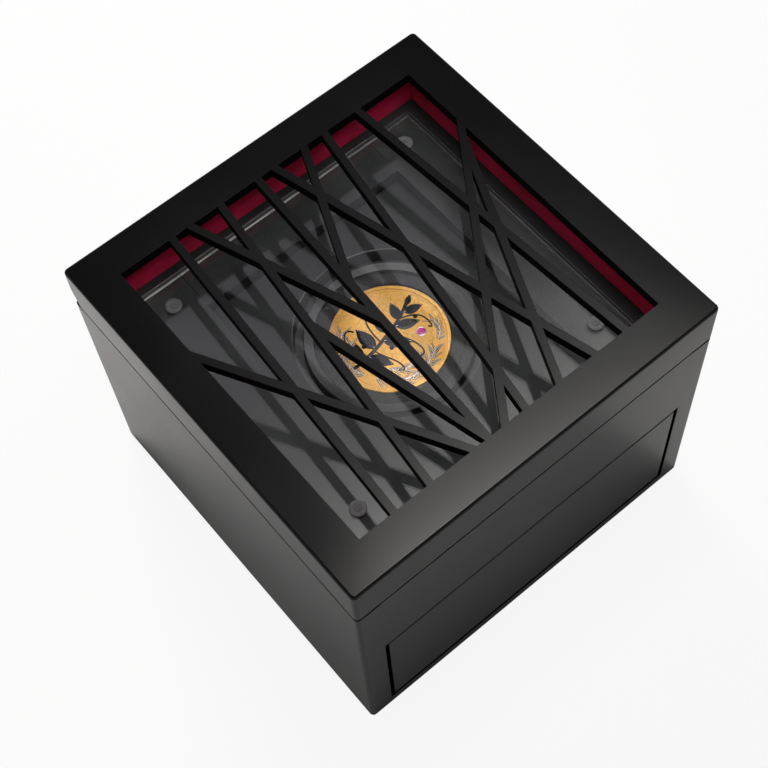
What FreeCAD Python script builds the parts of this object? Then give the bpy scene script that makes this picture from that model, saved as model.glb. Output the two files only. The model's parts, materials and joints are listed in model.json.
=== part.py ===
"""Coin case: a square lacquered case with a hinged fretwork lid, a coin under a clear cover plate in a red
lined display well, and a flush push-to-open drawer below.

Frame: millimetres, +Z up, origin on the ground at the middle of the case, the drawer front towards -Y and
the hinges towards +Y.
"""
import FreeCAD, Part
import math
import os
import re
import Sketcher

# Driving dimensions, one row each: name, value in millimetres (degrees for angles).
DIMENSIONS = (
    # case
    ("case_width", 180.0), ("case_depth", 180.0), ("rim_height", 120.0), ("wall", 11.0),
    ("base_thickness", 6.0), ("shelf_thickness", 6.0), ("corner_round", 2.0),
    ("pad_thickness", 1.0), ("pad_radius", 7.0), ("pad_inset", 15.0),
    # red lining cards, which stand above the rim as the lid's collar
    ("lining_thickness", 0.8), ("lining_gap", 0.2), ("collar_rise", 14.5), ("collar_clearance", 0.8),
    # display well
    ("ledge_drop", 0.4), ("ledge_height", 10.1), ("ledge_width_side", 27.7), ("ledge_width_end", 23.7),
    ("tray_thickness", 14.5), ("tray_fit", 0.3), ("cleat_width", 12.0),
    ("recess_radius", 39.2), ("recess_depth", 8.9), ("seat_depth", 1.5),
    ("cover_thickness", 2.0), ("cover_rebate", 3.0), ("cover_fit", 0.3),
    ("cover_gap_side", 6.2), ("cover_gap_back", 4.8), ("cover_gap_front", 12.0),
    ("rivet_inset", 11.0), ("rivet_head_radius", 3.5), ("rivet_dome", 1.6), ("rivet_radius", 1.75),
    ("rivet_length", 6.0), ("rivet_pin_radius", 1.1), ("rivet_pin_rise", 0.3), ("rivet_clearance", 0.05),
    # coin and capsule
    ("coin_radius", 25.0), ("coin_thickness", 3.0), ("coin_rim", 1.8), ("coin_relief", 0.35),
    ("capsule_wall", 1.6), ("capsule_floor", 1.5), ("capsule_fit", 0.3), ("coin_headroom", 0.8),
    ("gasket_width", 6.0), ("gasket_fit", 0.2),
    # drawer
    ("front_rail_height", 46.2), ("front_gap_side", 1.8), ("front_gap_low", 2.0), ("front_gap_top", 1.2),
    ("front_edge_round", 0.6), ("drawer_wall", 6.0), ("drawer_inset", 0.2), ("latch_space", 34.0),
    ("drawer_headroom", 5.8), ("drawer_floor", 3.0), ("drawer_floor_rise", 3.0),
    ("drawer_pad", 2.0), ("drawer_pad_fit", 0.3),
    ("dowel_radius", 1.5), ("dowel_length", 14.0), ("dowel_edge", 15.0), ("dowel_clearance", 0.05),
    ("runner_width", 12.0), ("runner_height", 12.0), ("runner_clearance", 0.2), ("guide_clearance", 0.3),
    ("stop_width", 24.0), ("stop_height", 9.8), ("stop_depth", 8.0), ("stop_setback", 14.5),
    # push latch
    ("latch_width", 14.0), ("latch_height", 12.0), ("latch_length", 24.0), ("latch_end_wall", 2.0),
    ("latch_ear", 8.0), ("latch_ear_thickness", 3.0), ("latch_screw_radius", 1.25),
    ("latch_screw_length", 9.0), ("latch_head_radius", 2.4), ("latch_head_height", 1.4),
    ("plunger_radius", 3.0), ("plunger_clearance", 0.06), ("plunger_engaged", 10.0), ("plunger_touch", 0.1),
    ("spring_wall", 0.6), ("spring_fit", 0.3), ("strike_thickness", 1.0),
    # lid
    ("seam_gap", 0.3), ("lid_height", 22.7), ("face_thickness", 5.0), ("face_edge_round", 1.2),
    ("border", 16.5), ("bar_width", 3.2), ("bar_tenon", 3.0), ("bevel_angle", 21.5),
    ("magnet_radius", 4.0), ("magnet_height", 3.0), ("magnet_inset", 34.0), ("magnet_fit", 0.05),
    # hinges
    ("hinge_inset", 27.0), ("hinge_width", 28.0), ("knuckle_length", 11.0), ("knuckle_gap", 0.2),
    ("barrel_radius", 2.0), ("barrel_inset", 0.3), ("barrel_lift", 0.4), ("barrel_clearance", 0.2),
    ("hinge_pin_radius", 0.9), ("hinge_pin_clearance", 0.05), ("leaf_thickness", 1.2), ("leaf_reach", 7.2),
    ("leaf_lap", 1.0), ("lid_leaf_height", 10.0), ("leaf_fit", 0.1), ("hinge_screw_spacing", 18.0),
    ("hinge_screw_radius", 1.1), ("hinge_screw_head", 2.2), ("body_screw_length", 8.0),
    ("lid_screw_length", 5.0), ("screw_clearance", 0.05),
)

# The fretwork's bars. An end lies on an edge of the window, at a share of the half edge from its middle,
# or on another bar, at a share of that bar's length.
BARS = (
    ("bar_a", ("back", -0.659), ("front", -0.782)), ("bar_b", ("left", 0.333), ("front", -0.268)),
    ("bar_c", ("back", -0.333), ("front", -0.551)), ("bar_d", ("back", -0.078), ("front", -0.171)),
    ("bar_e", ("back", -0.539), ("bar_d", 0.565)), ("bar_f", ("bar_c", 0.454), ("front", -0.171)),
    ("bar_g", ("back", 0.038), ("front", 0.552)), ("bar_h", ("back", 0.246), ("bar_d", 0.425)),
    ("bar_i", ("back", 0.390), ("front", 0.079)), ("bar_j", ("back", 0.627), ("front", 0.766)),
    ("bar_k", ("right", 0.550), ("front", -0.060)), ("bar_l", ("bar_k", 0.049), ("front", 0.306)),
)

# Places and sizes that follow from the driving dimensions, as formulas.
HALF_X, HALF_Y = "(case_width / 2)", "(case_depth / 2)"
INNER_X, INNER_Y = f"({HALF_X} - wall)", f"({HALF_Y} - wall)"
BASE_TOP = "(pad_thickness + base_thickness)"
OPENING_TOP = "(rim_height - front_rail_height)"
SHELF_TOP = f"({OPENING_TOP} + shelf_thickness)"
COLLAR_X, COLLAR_Y = f"({INNER_X} - lining_gap)", f"({INNER_Y} - lining_gap)"
COLLAR_TOP = "(rim_height + collar_rise)"
WELL_X, WELL_Y = f"({COLLAR_X} - lining_thickness)", f"({COLLAR_Y} - lining_thickness)"
TRAY_X, TRAY_Y = f"({WELL_X} - tray_fit)", f"({WELL_Y} - tray_fit)"
LEDGE_TOP = "(rim_height - ledge_drop)"
TRAY_TOP = f"({LEDGE_TOP} - ledge_height)"
TRAY_LOW = f"({TRAY_TOP} - tray_thickness)"
LEDGE_IN_X = f"({TRAY_X} - ledge_width_side)"
COVER_X = f"({WELL_X} - cover_gap_side)"
COVER_FRONT, COVER_BACK = f"(cover_gap_front - {WELL_Y})", f"({WELL_Y} - cover_gap_back)"
COVER_LOW = f"({LEDGE_TOP} - cover_rebate)"
COVER_TOP = f"({COVER_LOW} + cover_thickness)"
RIVETS = tuple((x, y) for x in (f"(rivet_inset - {COVER_X})", f"({COVER_X} - rivet_inset)")
               for y in (f"({COVER_FRONT} + rivet_inset)", f"({COVER_BACK} - rivet_inset)"))

GASKET_IN = "(coin_radius + gasket_fit)"
GASKET_OUT = f"({GASKET_IN} + gasket_width)"
CUP_IN = f"({GASKET_OUT} + gasket_fit)"
CUP_OUT = f"({CUP_IN} + capsule_wall)"
SKIRT_IN = f"({CUP_OUT} + capsule_fit)"
CAPSULE_RADIUS = f"({SKIRT_IN} + capsule_wall)"
SEAT_FLOOR = f"({TRAY_TOP} - recess_depth - seat_depth)"
COIN_LOW = f"({SEAT_FLOOR} + capsule_floor)"
CAPSULE_LID_LOW = f"({COIN_LOW} + coin_thickness + coin_headroom)"

FRONT_X = f"({INNER_X} - front_gap_side)"
DRAWER_LOW = f"({BASE_TOP} + front_gap_low)"
FRONT_TOP = f"({OPENING_TOP} - front_gap_top)"
DRAWER_X = f"({FRONT_X} - drawer_inset)"
DRAWER_IN_X = f"({DRAWER_X} - drawer_wall)"
DRAWER_BACK = f"({INNER_Y} - latch_space)"
DRAWER_TOP = f"({OPENING_TOP} - drawer_headroom)"
DRAWER_FLOOR_TOP = f"({DRAWER_LOW} + drawer_floor_rise + drawer_floor)"
DOWELS = tuple((x, z) for x in (f"({DRAWER_IN_X} + drawer_wall / 2)", f"(-{DRAWER_IN_X} - drawer_wall / 2)")
               for z in (f"({DRAWER_LOW} + dowel_edge)", f"({DRAWER_TOP} - dowel_edge)"))
LATCH_Z = f"(({DRAWER_LOW} + {DRAWER_TOP}) / 2)"
LATCH_FRONT = f"({INNER_Y} - latch_length)"
PLUNGER_TIP = f"({DRAWER_BACK} + strike_thickness + plunger_touch)"
PLUNGER_END = f"({LATCH_FRONT} + plunger_engaged)"
LATCH_BORE_END = f"({INNER_Y} - latch_end_wall)"
LATCH_SCREW_X = "(latch_width / 2 + latch_ear / 2)"

LID_LOW = "(rim_height + seam_gap)"
LID_TOP = f"({LID_LOW} + lid_height)"
FACE_LOW = f"({LID_TOP} - face_thickness)"
RAIL_IN_X, RAIL_IN_Y = f"({COLLAR_X} + collar_clearance)", f"({COLLAR_Y} + collar_clearance)"
WINDOW_X, WINDOW_Y = f"({HALF_X} - border)", f"({HALF_Y} - border)"
MAGNETS_X = (f"(magnet_inset - {INNER_X})", f"({INNER_X} - magnet_inset)")
MAGNET_Y = f"(-({RAIL_IN_Y} + {HALF_Y}) / 2)"
PIVOT_Y = f"({HALF_Y} - barrel_inset - barrel_radius)"
PIVOT_Z = "(rim_height + barrel_lift + barrel_radius)"
BEVEL = "(barrel_radius + barrel_clearance)"
HINGES = (("left", f"(hinge_inset - {INNER_X})"), ("right", f"({INNER_X} - hinge_inset)"))
BODY_SCREW_Y = f"({PIVOT_Y} - leaf_reach * 0.6)"
LID_SCREW_U = "(lid_leaf_height * 0.6 - leaf_lap)"

ALIASES = {name for name, value in DIMENSIONS}

doc = FreeCAD.newDocument("coin_case")
dims = doc.addObject("Spreadsheet::Sheet", "dims")
nodes = []


def fill_sheet():
    """Writes every driving dimension and every bar end into the sheet, each under its own alias."""
    rows = list(DIMENSIONS)
    for name, start, end in BARS:
        rows += [(f"{name}_start", start[1]), (f"{name}_end", end[1])]
    for row, (name, value) in enumerate(rows, start=1):
        dims.set(f"A{row}", name)
        dims.set(f"B{row}", str(value))
        dims.setAlias(f"B{row}", name)
        ALIASES.add(name)
    doc.recompute()


def formula(text):
    """The expression for a formula, with each driving dimension taken from the sheet."""
    return re.sub(r"[a-z][a-z0-9_]*", lambda m: f"dims.{m[0]}" if m[0] in ALIASES else m[0], text)


def bind(obj, **sizes):
    for prop, text in sizes.items():
        obj.setExpression(prop, formula(text))


def place(obj, x, y, z):
    for axis, text in zip("xyz", (x, y, z)):
        obj.setExpression(f"Placement.Base.{axis}", formula(text))


def turn(obj, axis, angle):
    obj.Placement.Rotation.Axis = FreeCAD.Vector(*axis)
    obj.setExpression("Placement.Rotation.Angle", formula(angle))


def box(name, low, high):
    """A box between two corners, each given as three formulas."""
    obj = doc.addObject("Part::Box", name)
    length, width, height = (f"{b} - ({a})" for a, b in zip(low, high))
    bind(obj, Length=length, Width=width, Height=height)
    place(obj, *low)
    return obj


def cylinder(name, radius, length, foot, axis="z"):
    """A cylinder that starts at its foot and runs along +x, +y or +z."""
    obj = doc.addObject("Part::Cylinder", name)
    bind(obj, Radius=radius, Height=length)
    if axis == "x":
        turn(obj, (0, 1, 0), "90")
    elif axis == "y":
        turn(obj, (1, 0, 0), "-90")
    place(obj, *foot)
    return obj


def fuse(name, parts):
    obj = doc.addObject("Part::MultiFuse", name)
    obj.Shapes = list(parts)
    obj.Refine = True
    return obj


def cut(name, base, tools):
    obj = doc.addObject("Part::Cut", name)
    obj.Base = base
    obj.Tool = tools[0] if len(tools) == 1 else fuse(f"{name}_tools", tools)
    obj.Refine = True
    return obj


def common(name, first, second):
    obj = doc.addObject("Part::Common", name)
    obj.Base = first
    obj.Tool = second
    return obj


def group(name, parts):
    """One node of separate, alike solids."""
    obj = doc.addObject("Part::Compound", name)
    obj.Links = list(parts)
    return obj


def tube(name, outer, inner, length, foot, axis="z"):
    return cut(name, cylinder(f"{name}_outside", outer, length, foot, axis),
               [cylinder(f"{name}_bore", inner, length, foot, axis)])


def node(obj, name=None):
    """Marks an object as a finished sub-part."""
    obj.Label = name or obj.Name
    nodes.append(obj)
    return obj


def plane(body, role):
    return next(f for f in body.Origin.OriginFeatures if f.Role == role)


def rounded_rectangle(sketch, width, height, radius):
    """A rectangle about the sketch's origin with four equal round corners."""
    w, d, r = 90.0, 60.0, 5.0
    corners = ((w, d), (-w, d), (-w, -d), (w, -d))
    V = FreeCAD.Vector
    for i, (x, y) in enumerate(corners):
        cx, cy = x - r * (1 if x > 0 else -1), y - r * (1 if y > 0 else -1)
        start = i * math.pi / 2
        sketch.addGeometry(Part.ArcOfCircle(Part.Circle(V(cx, cy, 0), V(0, 0, 1), r), start,
                                            start + math.pi / 2), False)
    for a, b in ((0, 1), (1, 2), (2, 3), (3, 0)):
        p = sketch.Geometry[a].EndPoint
        q = sketch.Geometry[b].StartPoint
        line = sketch.addGeometry(Part.LineSegment(p, q), False)
        sketch.addConstraint(Sketcher.Constraint("Tangent", a, 2, line, 1))
        sketch.addConstraint(Sketcher.Constraint("Tangent", line, 2, b, 1))
        sketch.addConstraint(Sketcher.Constraint("Horizontal" if a % 2 == 0 else "Vertical", line))
    for i in (1, 2, 3):
        sketch.addConstraint(Sketcher.Constraint("Equal", 0, i))
    sketch.addConstraint(Sketcher.Constraint("Symmetric", 0, 3, 2, 3, -1, 1))
    named = (("radius", Sketcher.Constraint("Radius", 0, r), radius),
             ("across", Sketcher.Constraint("DistanceX", 5, 1, 7, 1, 2 * w), width),
             ("along", Sketcher.Constraint("DistanceY", 6, 1, 4, 1, 2 * d), height))
    for name, constraint, text in named:
        sketch.renameConstraint(sketch.addConstraint(constraint), name)
        sketch.setExpression(f"Constraints.{name}", formula(text))


def rounded_block(name, role, width, height, corner, depth, edge):
    """A padded rounded rectangle with the edges of its far face rounded."""
    body = doc.addObject("PartDesign::Body", name)
    sketch = body.newObject("Sketcher::SketchObject", f"{name}_outline")
    sketch.AttachmentSupport = [(plane(body, role), "")]
    sketch.MapMode = "FlatFace"
    rounded_rectangle(sketch, width, height, corner)
    pad = body.newObject("PartDesign::Pad", f"{name}_pad")
    pad.Profile = sketch
    bind(pad, Length=depth)
    doc.recompute()
    normal = sketch.Placement.Rotation.multVec(FreeCAD.Vector(0, 0, 1))
    faces = pad.Shape.Faces
    far = max(range(len(faces)), key=lambda i: faces[i].CenterOfMass.dot(normal))
    fillet = body.newObject("PartDesign::Fillet", f"{name}_edge")
    fillet.Base = (pad, [f"Face{far + 1}"])
    bind(fillet, Radius=edge)
    body.Tip = fillet
    doc.recompute()
    return body


def countersunk(name, head, shank, length, spread, x, y, z, axis, angle):
    """A flat-headed screw whose head lies at its place and whose shank runs along its own -z."""
    cone = doc.addObject("Part::Cone", f"{name}_head")
    bind(cone, Radius1=f"{shank} + {spread}", Radius2=f"{head} + {spread}", Height=f"{head} - {shank}")
    cone.setExpression("Placement.Base.z", formula(f"-({head} - {shank})"))
    shaft = doc.addObject("Part::Cylinder", f"{name}_shank")
    bind(shaft, Radius=f"{shank} + {spread}", Height=f"{length} - ({head} - {shank})")
    shaft.setExpression("Placement.Base.z", formula(f"-({length})"))
    screw = fuse(name, [cone, shaft])
    turn(screw, axis, angle)
    place(screw, x, y, z)
    return screw


def case_outline():
    """The closed case's whole outside, which trims the outer boards to its round corners and edges."""
    return rounded_block("case_outline", "XY_Plane", "case_width", "case_depth", "corner_round", LID_TOP,
                         "face_edge_round")


def case_boards(outline):
    slab = box("base_blank", (f"-{HALF_X}", f"-{HALF_Y}", "pad_thickness"), (HALF_X, HALF_Y, BASE_TOP))
    node(common("base_panel", slab, outline))
    left = box("left_blank", (f"-{HALF_X}", f"-{HALF_Y}", BASE_TOP), (f"-{INNER_X}", HALF_Y, "rim_height"))
    node(common("left_side", left, outline))
    right = box("right_blank", (INNER_X, f"-{HALF_Y}", BASE_TOP), (HALF_X, HALF_Y, "rim_height"))
    node(common("right_side", right, outline))
    rail = box("front_rail_blank", (f"-{INNER_X}", f"-{HALF_Y}", OPENING_TOP),
               (INNER_X, f"-{INNER_Y}", "rim_height"))
    sockets = [cylinder(f"rim_socket_{i}", "magnet_radius + magnet_fit", "magnet_height",
                        (x, MAGNET_Y, "rim_height - magnet_height"))
               for i, x in enumerate(MAGNETS_X)]
    node(cut("front_rail", rail, sockets))
    node(box("divider_shelf", (f"-{INNER_X}", f"-{INNER_Y}", OPENING_TOP), (INNER_X, INNER_Y, SHELF_TOP)))
    back = box("back_blank", (f"-{INNER_X}", INNER_Y, BASE_TOP), (INNER_X, HALF_Y, "rim_height"))
    tools = []
    for side, x in HINGES:
        tools.append(box(f"leaf_mortise_{side}",
                         (f"{x} - hinge_width / 2 - leaf_fit", f"{PIVOT_Y} - leaf_reach - leaf_fit",
                          "rim_height - leaf_thickness"),
                         (f"{x} + hinge_width / 2 + leaf_fit", f"{PIVOT_Y} + leaf_lap + leaf_fit",
                          "rim_height + seam_gap")))
        tools += body_hinge_screws(f"pilot_{side}", x, "screw_clearance")
    for i, x in enumerate((f"-{LATCH_SCREW_X}", LATCH_SCREW_X)):
        tools.append(cylinder(f"latch_pilot_{i}", "latch_screw_radius + screw_clearance",
                              "latch_screw_length - latch_ear_thickness", (x, INNER_Y, LATCH_Z), "y"))
    node(cut("back_panel", back, tools))
    feet = [cylinder(f"felt_pad_{i}{j}", "pad_radius", "pad_thickness",
                     (f"{a} * ({HALF_X} - pad_inset)", f"{b} * ({HALF_Y} - pad_inset)", "0"))
            for i, a in enumerate((-1, 1)) for j, b in enumerate((-1, 1))]
    node(group("felt_pads", feet))


def lining():
    """Four velvet covered cards that line the well and stand above the rim."""
    low, high = SHELF_TOP, COLLAR_TOP
    node(box("lining_left", (f"-{COLLAR_X}", f"-{COLLAR_Y}", low), (f"-{WELL_X}", COLLAR_Y, high)))
    node(box("lining_right", (WELL_X, f"-{COLLAR_Y}", low), (COLLAR_X, COLLAR_Y, high)))
    node(box("lining_front", (f"-{WELL_X}", f"-{COLLAR_Y}", low), (WELL_X, f"-{WELL_Y}", high)))
    node(box("lining_back", (f"-{WELL_X}", WELL_Y, low), (WELL_X, COLLAR_Y, high)))


def display_well():
    """Cleats, tray board with the round recess, rebated ledge strips, cover plate and its rivets."""
    for side, a, b in (("left", f"-{TRAY_X}", f"-{TRAY_X} + cleat_width"),
                       ("right", f"{TRAY_X} - cleat_width", TRAY_X)):
        node(box(f"tray_cleat_{side}", (a, f"-{TRAY_Y}", SHELF_TOP), (b, TRAY_Y, TRAY_LOW)))
    blank = box("tray_blank", (f"-{TRAY_X}", f"-{TRAY_Y}", TRAY_LOW), (TRAY_X, TRAY_Y, TRAY_TOP))
    recess = cylinder("tray_recess", "recess_radius", "recess_depth",
                      ("0", "0", f"{TRAY_TOP} - recess_depth"))
    seat = cylinder("capsule_seat", f"{CAPSULE_RADIUS} + capsule_fit", "recess_depth + seat_depth",
                    ("0", "0", SEAT_FLOOR))
    node(cut("tray_board", blank, [recess, seat]))
    holes = {}
    for i, (x, y) in enumerate(RIVETS):
        holes[i] = cylinder(f"rivet_hole_{i}", "rivet_radius + rivet_clearance",
                            "rivet_length + cover_thickness", (x, y, f"{COVER_LOW} - rivet_length"))
    rebate = box("cover_rebate_cut", (f"-{COVER_X} - cover_fit", f"{COVER_FRONT} - cover_fit", COVER_LOW),
                 (f"{COVER_X} + cover_fit", f"{COVER_BACK} + cover_fit", LEDGE_TOP))
    inner_y = f"({TRAY_Y} - ledge_width_end)"
    ledges = {
        "left": ((f"-{TRAY_X}", f"-{TRAY_Y}"), (f"-{LEDGE_IN_X}", TRAY_Y), [holes[0], holes[1]]),
        "right": ((LEDGE_IN_X, f"-{TRAY_Y}"), (TRAY_X, TRAY_Y), [holes[2], holes[3]]),
        "front": ((f"-{LEDGE_IN_X}", f"-{TRAY_Y}"), (LEDGE_IN_X, f"-{inner_y}"), []),
        "back": ((f"-{LEDGE_IN_X}", inner_y), (LEDGE_IN_X, TRAY_Y), []),
    }
    for side, (near, far, drilled) in ledges.items():
        strip = box(f"ledge_{side}_blank", (*near, TRAY_TOP), (*far, LEDGE_TOP))
        node(cut(f"ledge_{side}", strip, [rebate] + drilled))
    sheet = box("cover_blank", (f"-{COVER_X}", COVER_FRONT, COVER_LOW), (COVER_X, COVER_BACK, COVER_TOP))
    node(cut("cover_plate", sheet, list(holes.values())))
    node(group("cover_rivets", [rivet(f"cover_rivet_{i}", x, y) for i, (x, y) in enumerate(RIVETS)]))


def rivet(name, x, y):
    """A push rivet: a domed head with a centre pin, and a shank through the plate into the ledge."""
    ball = "((rivet_head_radius ^ 2 + rivet_dome ^ 2) / (2 * rivet_dome))"
    dome = doc.addObject("Part::Sphere", f"{name}_dome")
    bind(dome, Radius=ball, Angle1=f"asin(1 - rivet_dome / {ball})")
    place(dome, x, y, f"{COVER_TOP} + rivet_dome - {ball}")
    shank = cylinder(f"{name}_shank", "rivet_radius", "rivet_length + cover_thickness + rivet_dome / 2",
                     (x, y, f"{COVER_LOW} - rivet_length"))
    pin = cylinder(f"{name}_pin", "rivet_pin_radius", "rivet_dome / 2 + rivet_pin_rise",
                   (x, y, f"{COVER_TOP} + rivet_dome / 2"))
    return fuse(name, [dome, shank, pin])


def coin_and_capsule():
    disc = cylinder("coin_blank", "coin_radius", "coin_thickness", ("0", "0", COIN_LOW))
    upper = cylinder("coin_face", "coin_radius - coin_rim", "coin_relief",
                     ("0", "0", f"{COIN_LOW} + coin_thickness - coin_relief"))
    lower = cylinder("coin_reverse", "coin_radius - coin_rim", "coin_relief", ("0", "0", COIN_LOW))
    node(cut("coin", disc, [upper, lower]))
    node(tube("coin_gasket", GASKET_OUT, GASKET_IN, "coin_thickness + coin_relief", ("0", "0", COIN_LOW)))
    floor = cylinder("capsule_base_floor", CAPSULE_RADIUS, "capsule_floor", ("0", "0", SEAT_FLOOR))
    cup = tube("capsule_base_wall", CUP_OUT, CUP_IN, "coin_thickness + coin_headroom - gasket_fit",
               ("0", "0", COIN_LOW))
    node(fuse("capsule_base", [floor, cup]))
    top = cylinder("capsule_lid_top", CAPSULE_RADIUS, "capsule_floor", ("0", "0", CAPSULE_LID_LOW))
    skirt = tube("capsule_lid_wall", CAPSULE_RADIUS, SKIRT_IN, "coin_thickness + coin_headroom",
                 ("0", "0", COIN_LOW))
    node(fuse("capsule_lid", [top, skirt]))


def drawer():
    front = rounded_block("drawer_front_panel", "XZ_Plane", f"2 * {FRONT_X}", f"{FRONT_TOP} - {DRAWER_LOW}",
                          "front_edge_round", "wall", "front_edge_round")
    place(front, "0", f"-{INNER_Y}", f"({FRONT_TOP} + {DRAWER_LOW}) / 2")
    dowels, holes = [], []
    for i, (x, z) in enumerate(DOWELS):
        start = (x, f"-{INNER_Y} - dowel_length / 2", z)
        dowels.append(cylinder(f"dowel_{i}", "dowel_radius", "dowel_length", start, "y"))
        holes.append(cylinder(f"dowel_hole_{i}", "dowel_radius + dowel_clearance", "dowel_length",
                              start, "y"))
    node(cut("drawer_front", front, holes))
    low, top = DRAWER_LOW, DRAWER_TOP
    right = box("drawer_right_blank", (DRAWER_IN_X, f"-{INNER_Y}", low), (DRAWER_X, DRAWER_BACK, top))
    node(cut("drawer_right", right, holes[:2]))
    left = box("drawer_left_blank", (f"-{DRAWER_X}", f"-{INNER_Y}", low),
               (f"-{DRAWER_IN_X}", DRAWER_BACK, top))
    node(cut("drawer_left", left, holes[2:]))
    node(box("drawer_back", (f"-{DRAWER_IN_X}", f"{DRAWER_BACK} - drawer_wall", low),
             (DRAWER_IN_X, DRAWER_BACK, top)))
    node(box("drawer_bottom", (f"-{DRAWER_IN_X}", f"-{INNER_Y}", f"{low} + drawer_floor_rise"),
             (DRAWER_IN_X, f"{DRAWER_BACK} - drawer_wall", DRAWER_FLOOR_TOP)))
    node(box("drawer_lining",
             (f"-{DRAWER_IN_X} + drawer_pad_fit", f"-{INNER_Y} + drawer_pad_fit", DRAWER_FLOOR_TOP),
             (f"{DRAWER_IN_X} - drawer_pad_fit", f"{DRAWER_BACK} - drawer_wall - drawer_pad_fit",
              f"{DRAWER_FLOOR_TOP} + drawer_pad")))
    node(group("drawer_dowels", dowels))
    node(box("latch_strike", ("-latch_width / 2", DRAWER_BACK, f"{LATCH_Z} - latch_height / 2"),
             ("latch_width / 2", f"{DRAWER_BACK} + strike_thickness", f"{LATCH_Z} + latch_height / 2")))


def drawer_guides():
    """Angled runners under and beside the drawer's sides, and the block that stops the drawer's back."""
    end = DRAWER_BACK
    rest = f"{DRAWER_LOW} - runner_clearance"
    for side, s in (("left", -1), ("right", 1)):
        outer, inner, fence = INNER_X, f"({INNER_X} - runner_width)", f"({DRAWER_X} + guide_clearance)"
        spans = [(f"-{outer}", f"-{inner}"), (f"-{outer}", f"-{fence}")] if s < 0 else \
                [(inner, outer), (fence, outer)]
        sole = box(f"runner_sole_{side}", (spans[0][0], f"-{INNER_Y}", BASE_TOP), (spans[0][1], end, rest))
        wall = box(f"runner_fence_{side}", (spans[1][0], f"-{INNER_Y}", BASE_TOP),
                   (spans[1][1], end, f"{BASE_TOP} + runner_height"))
        node(fuse(f"drawer_runner_{side}", [sole, wall]))
    face = f"(-{INNER_Y} + stop_setback)"
    node(box("drawer_stop", ("-stop_width / 2", face, f"{OPENING_TOP} - stop_height"),
             ("stop_width / 2", f"{face} + stop_depth", OPENING_TOP)))


def push_latch():
    half_x, half_z = "latch_width / 2", "latch_height / 2"
    case = box("latch_case", (f"-{half_x}", LATCH_FRONT, f"{LATCH_Z} - {half_z}"),
               (half_x, INNER_Y, f"{LATCH_Z} + {half_z}"))
    ears = box("latch_ears",
               (f"-{half_x} - latch_ear", f"{INNER_Y} - latch_ear_thickness", f"{LATCH_Z} - {half_z}"),
               (f"{half_x} + latch_ear", INNER_Y, f"{LATCH_Z} + {half_z}"))
    bore = cylinder("latch_bore", "plunger_radius + plunger_clearance", f"{LATCH_BORE_END} - {LATCH_FRONT}",
                    ("0", LATCH_FRONT, LATCH_Z), "y")
    holes, screws = [], []
    for i, x in enumerate((f"-{LATCH_SCREW_X}", LATCH_SCREW_X)):
        face = f"({INNER_Y} - latch_ear_thickness)"
        holes.append(cylinder(f"ear_hole_{i}", "latch_screw_radius + screw_clearance", "latch_ear_thickness",
                              (x, face, LATCH_Z), "y"))
        head = cylinder(f"latch_screw_head_{i}", "latch_head_radius", "latch_head_height",
                        (x, f"{face} - latch_head_height", LATCH_Z), "y")
        shank = cylinder(f"latch_screw_shank_{i}", "latch_screw_radius", "latch_screw_length",
                         (x, face, LATCH_Z), "y")
        screws.append(fuse(f"latch_screw_{i}", [head, shank]))
    node(cut("latch_housing", fuse("latch_block", [case, ears]), [bore] + holes))
    node(group("latch_screws", screws))
    node(cylinder("latch_plunger", "plunger_radius", f"{PLUNGER_END} - {PLUNGER_TIP}",
                  ("0", PLUNGER_TIP, LATCH_Z), "y"))
    coil = "(plunger_radius - spring_fit)"
    node(tube("latch_spring", coil, f"{coil} - spring_wall", f"{LATCH_BORE_END} - {PLUNGER_END}",
              ("0", PLUNGER_END, LATCH_Z), "y"))


def magnets():
    places = tuple(enumerate(MAGNETS_X))
    node(group("body_magnets", [cylinder(f"body_magnet_{i}", "magnet_radius", "magnet_height",
                                         (x, MAGNET_Y, "rim_height - magnet_height")) for i, x in places]))
    node(group("lid_magnets", [cylinder(f"lid_magnet_{i}", "magnet_radius", "magnet_height",
                                        (x, MAGNET_Y, LID_LOW)) for i, x in places]))


def tilted_box(name, x0, x1, n0, n1, u0, u1):
    """A box laid along the lid's rear bevel: n away from it and u up along it, both from the hinge axis."""
    obj = doc.addObject("Part::Box", name)
    bind(obj, Length=f"{x1} - ({x0})", Width=f"{n1} - ({n0})", Height=f"{u1} - ({u0})")
    turn(obj, (1, 0, 0), "-bevel_angle")
    place(obj, x0, f"{PIVOT_Y} + ({n0}) * cos(bevel_angle) + ({u0}) * sin(bevel_angle)",
          f"{PIVOT_Z} - ({n0}) * sin(bevel_angle) + ({u0}) * cos(bevel_angle)")
    return obj


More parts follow.
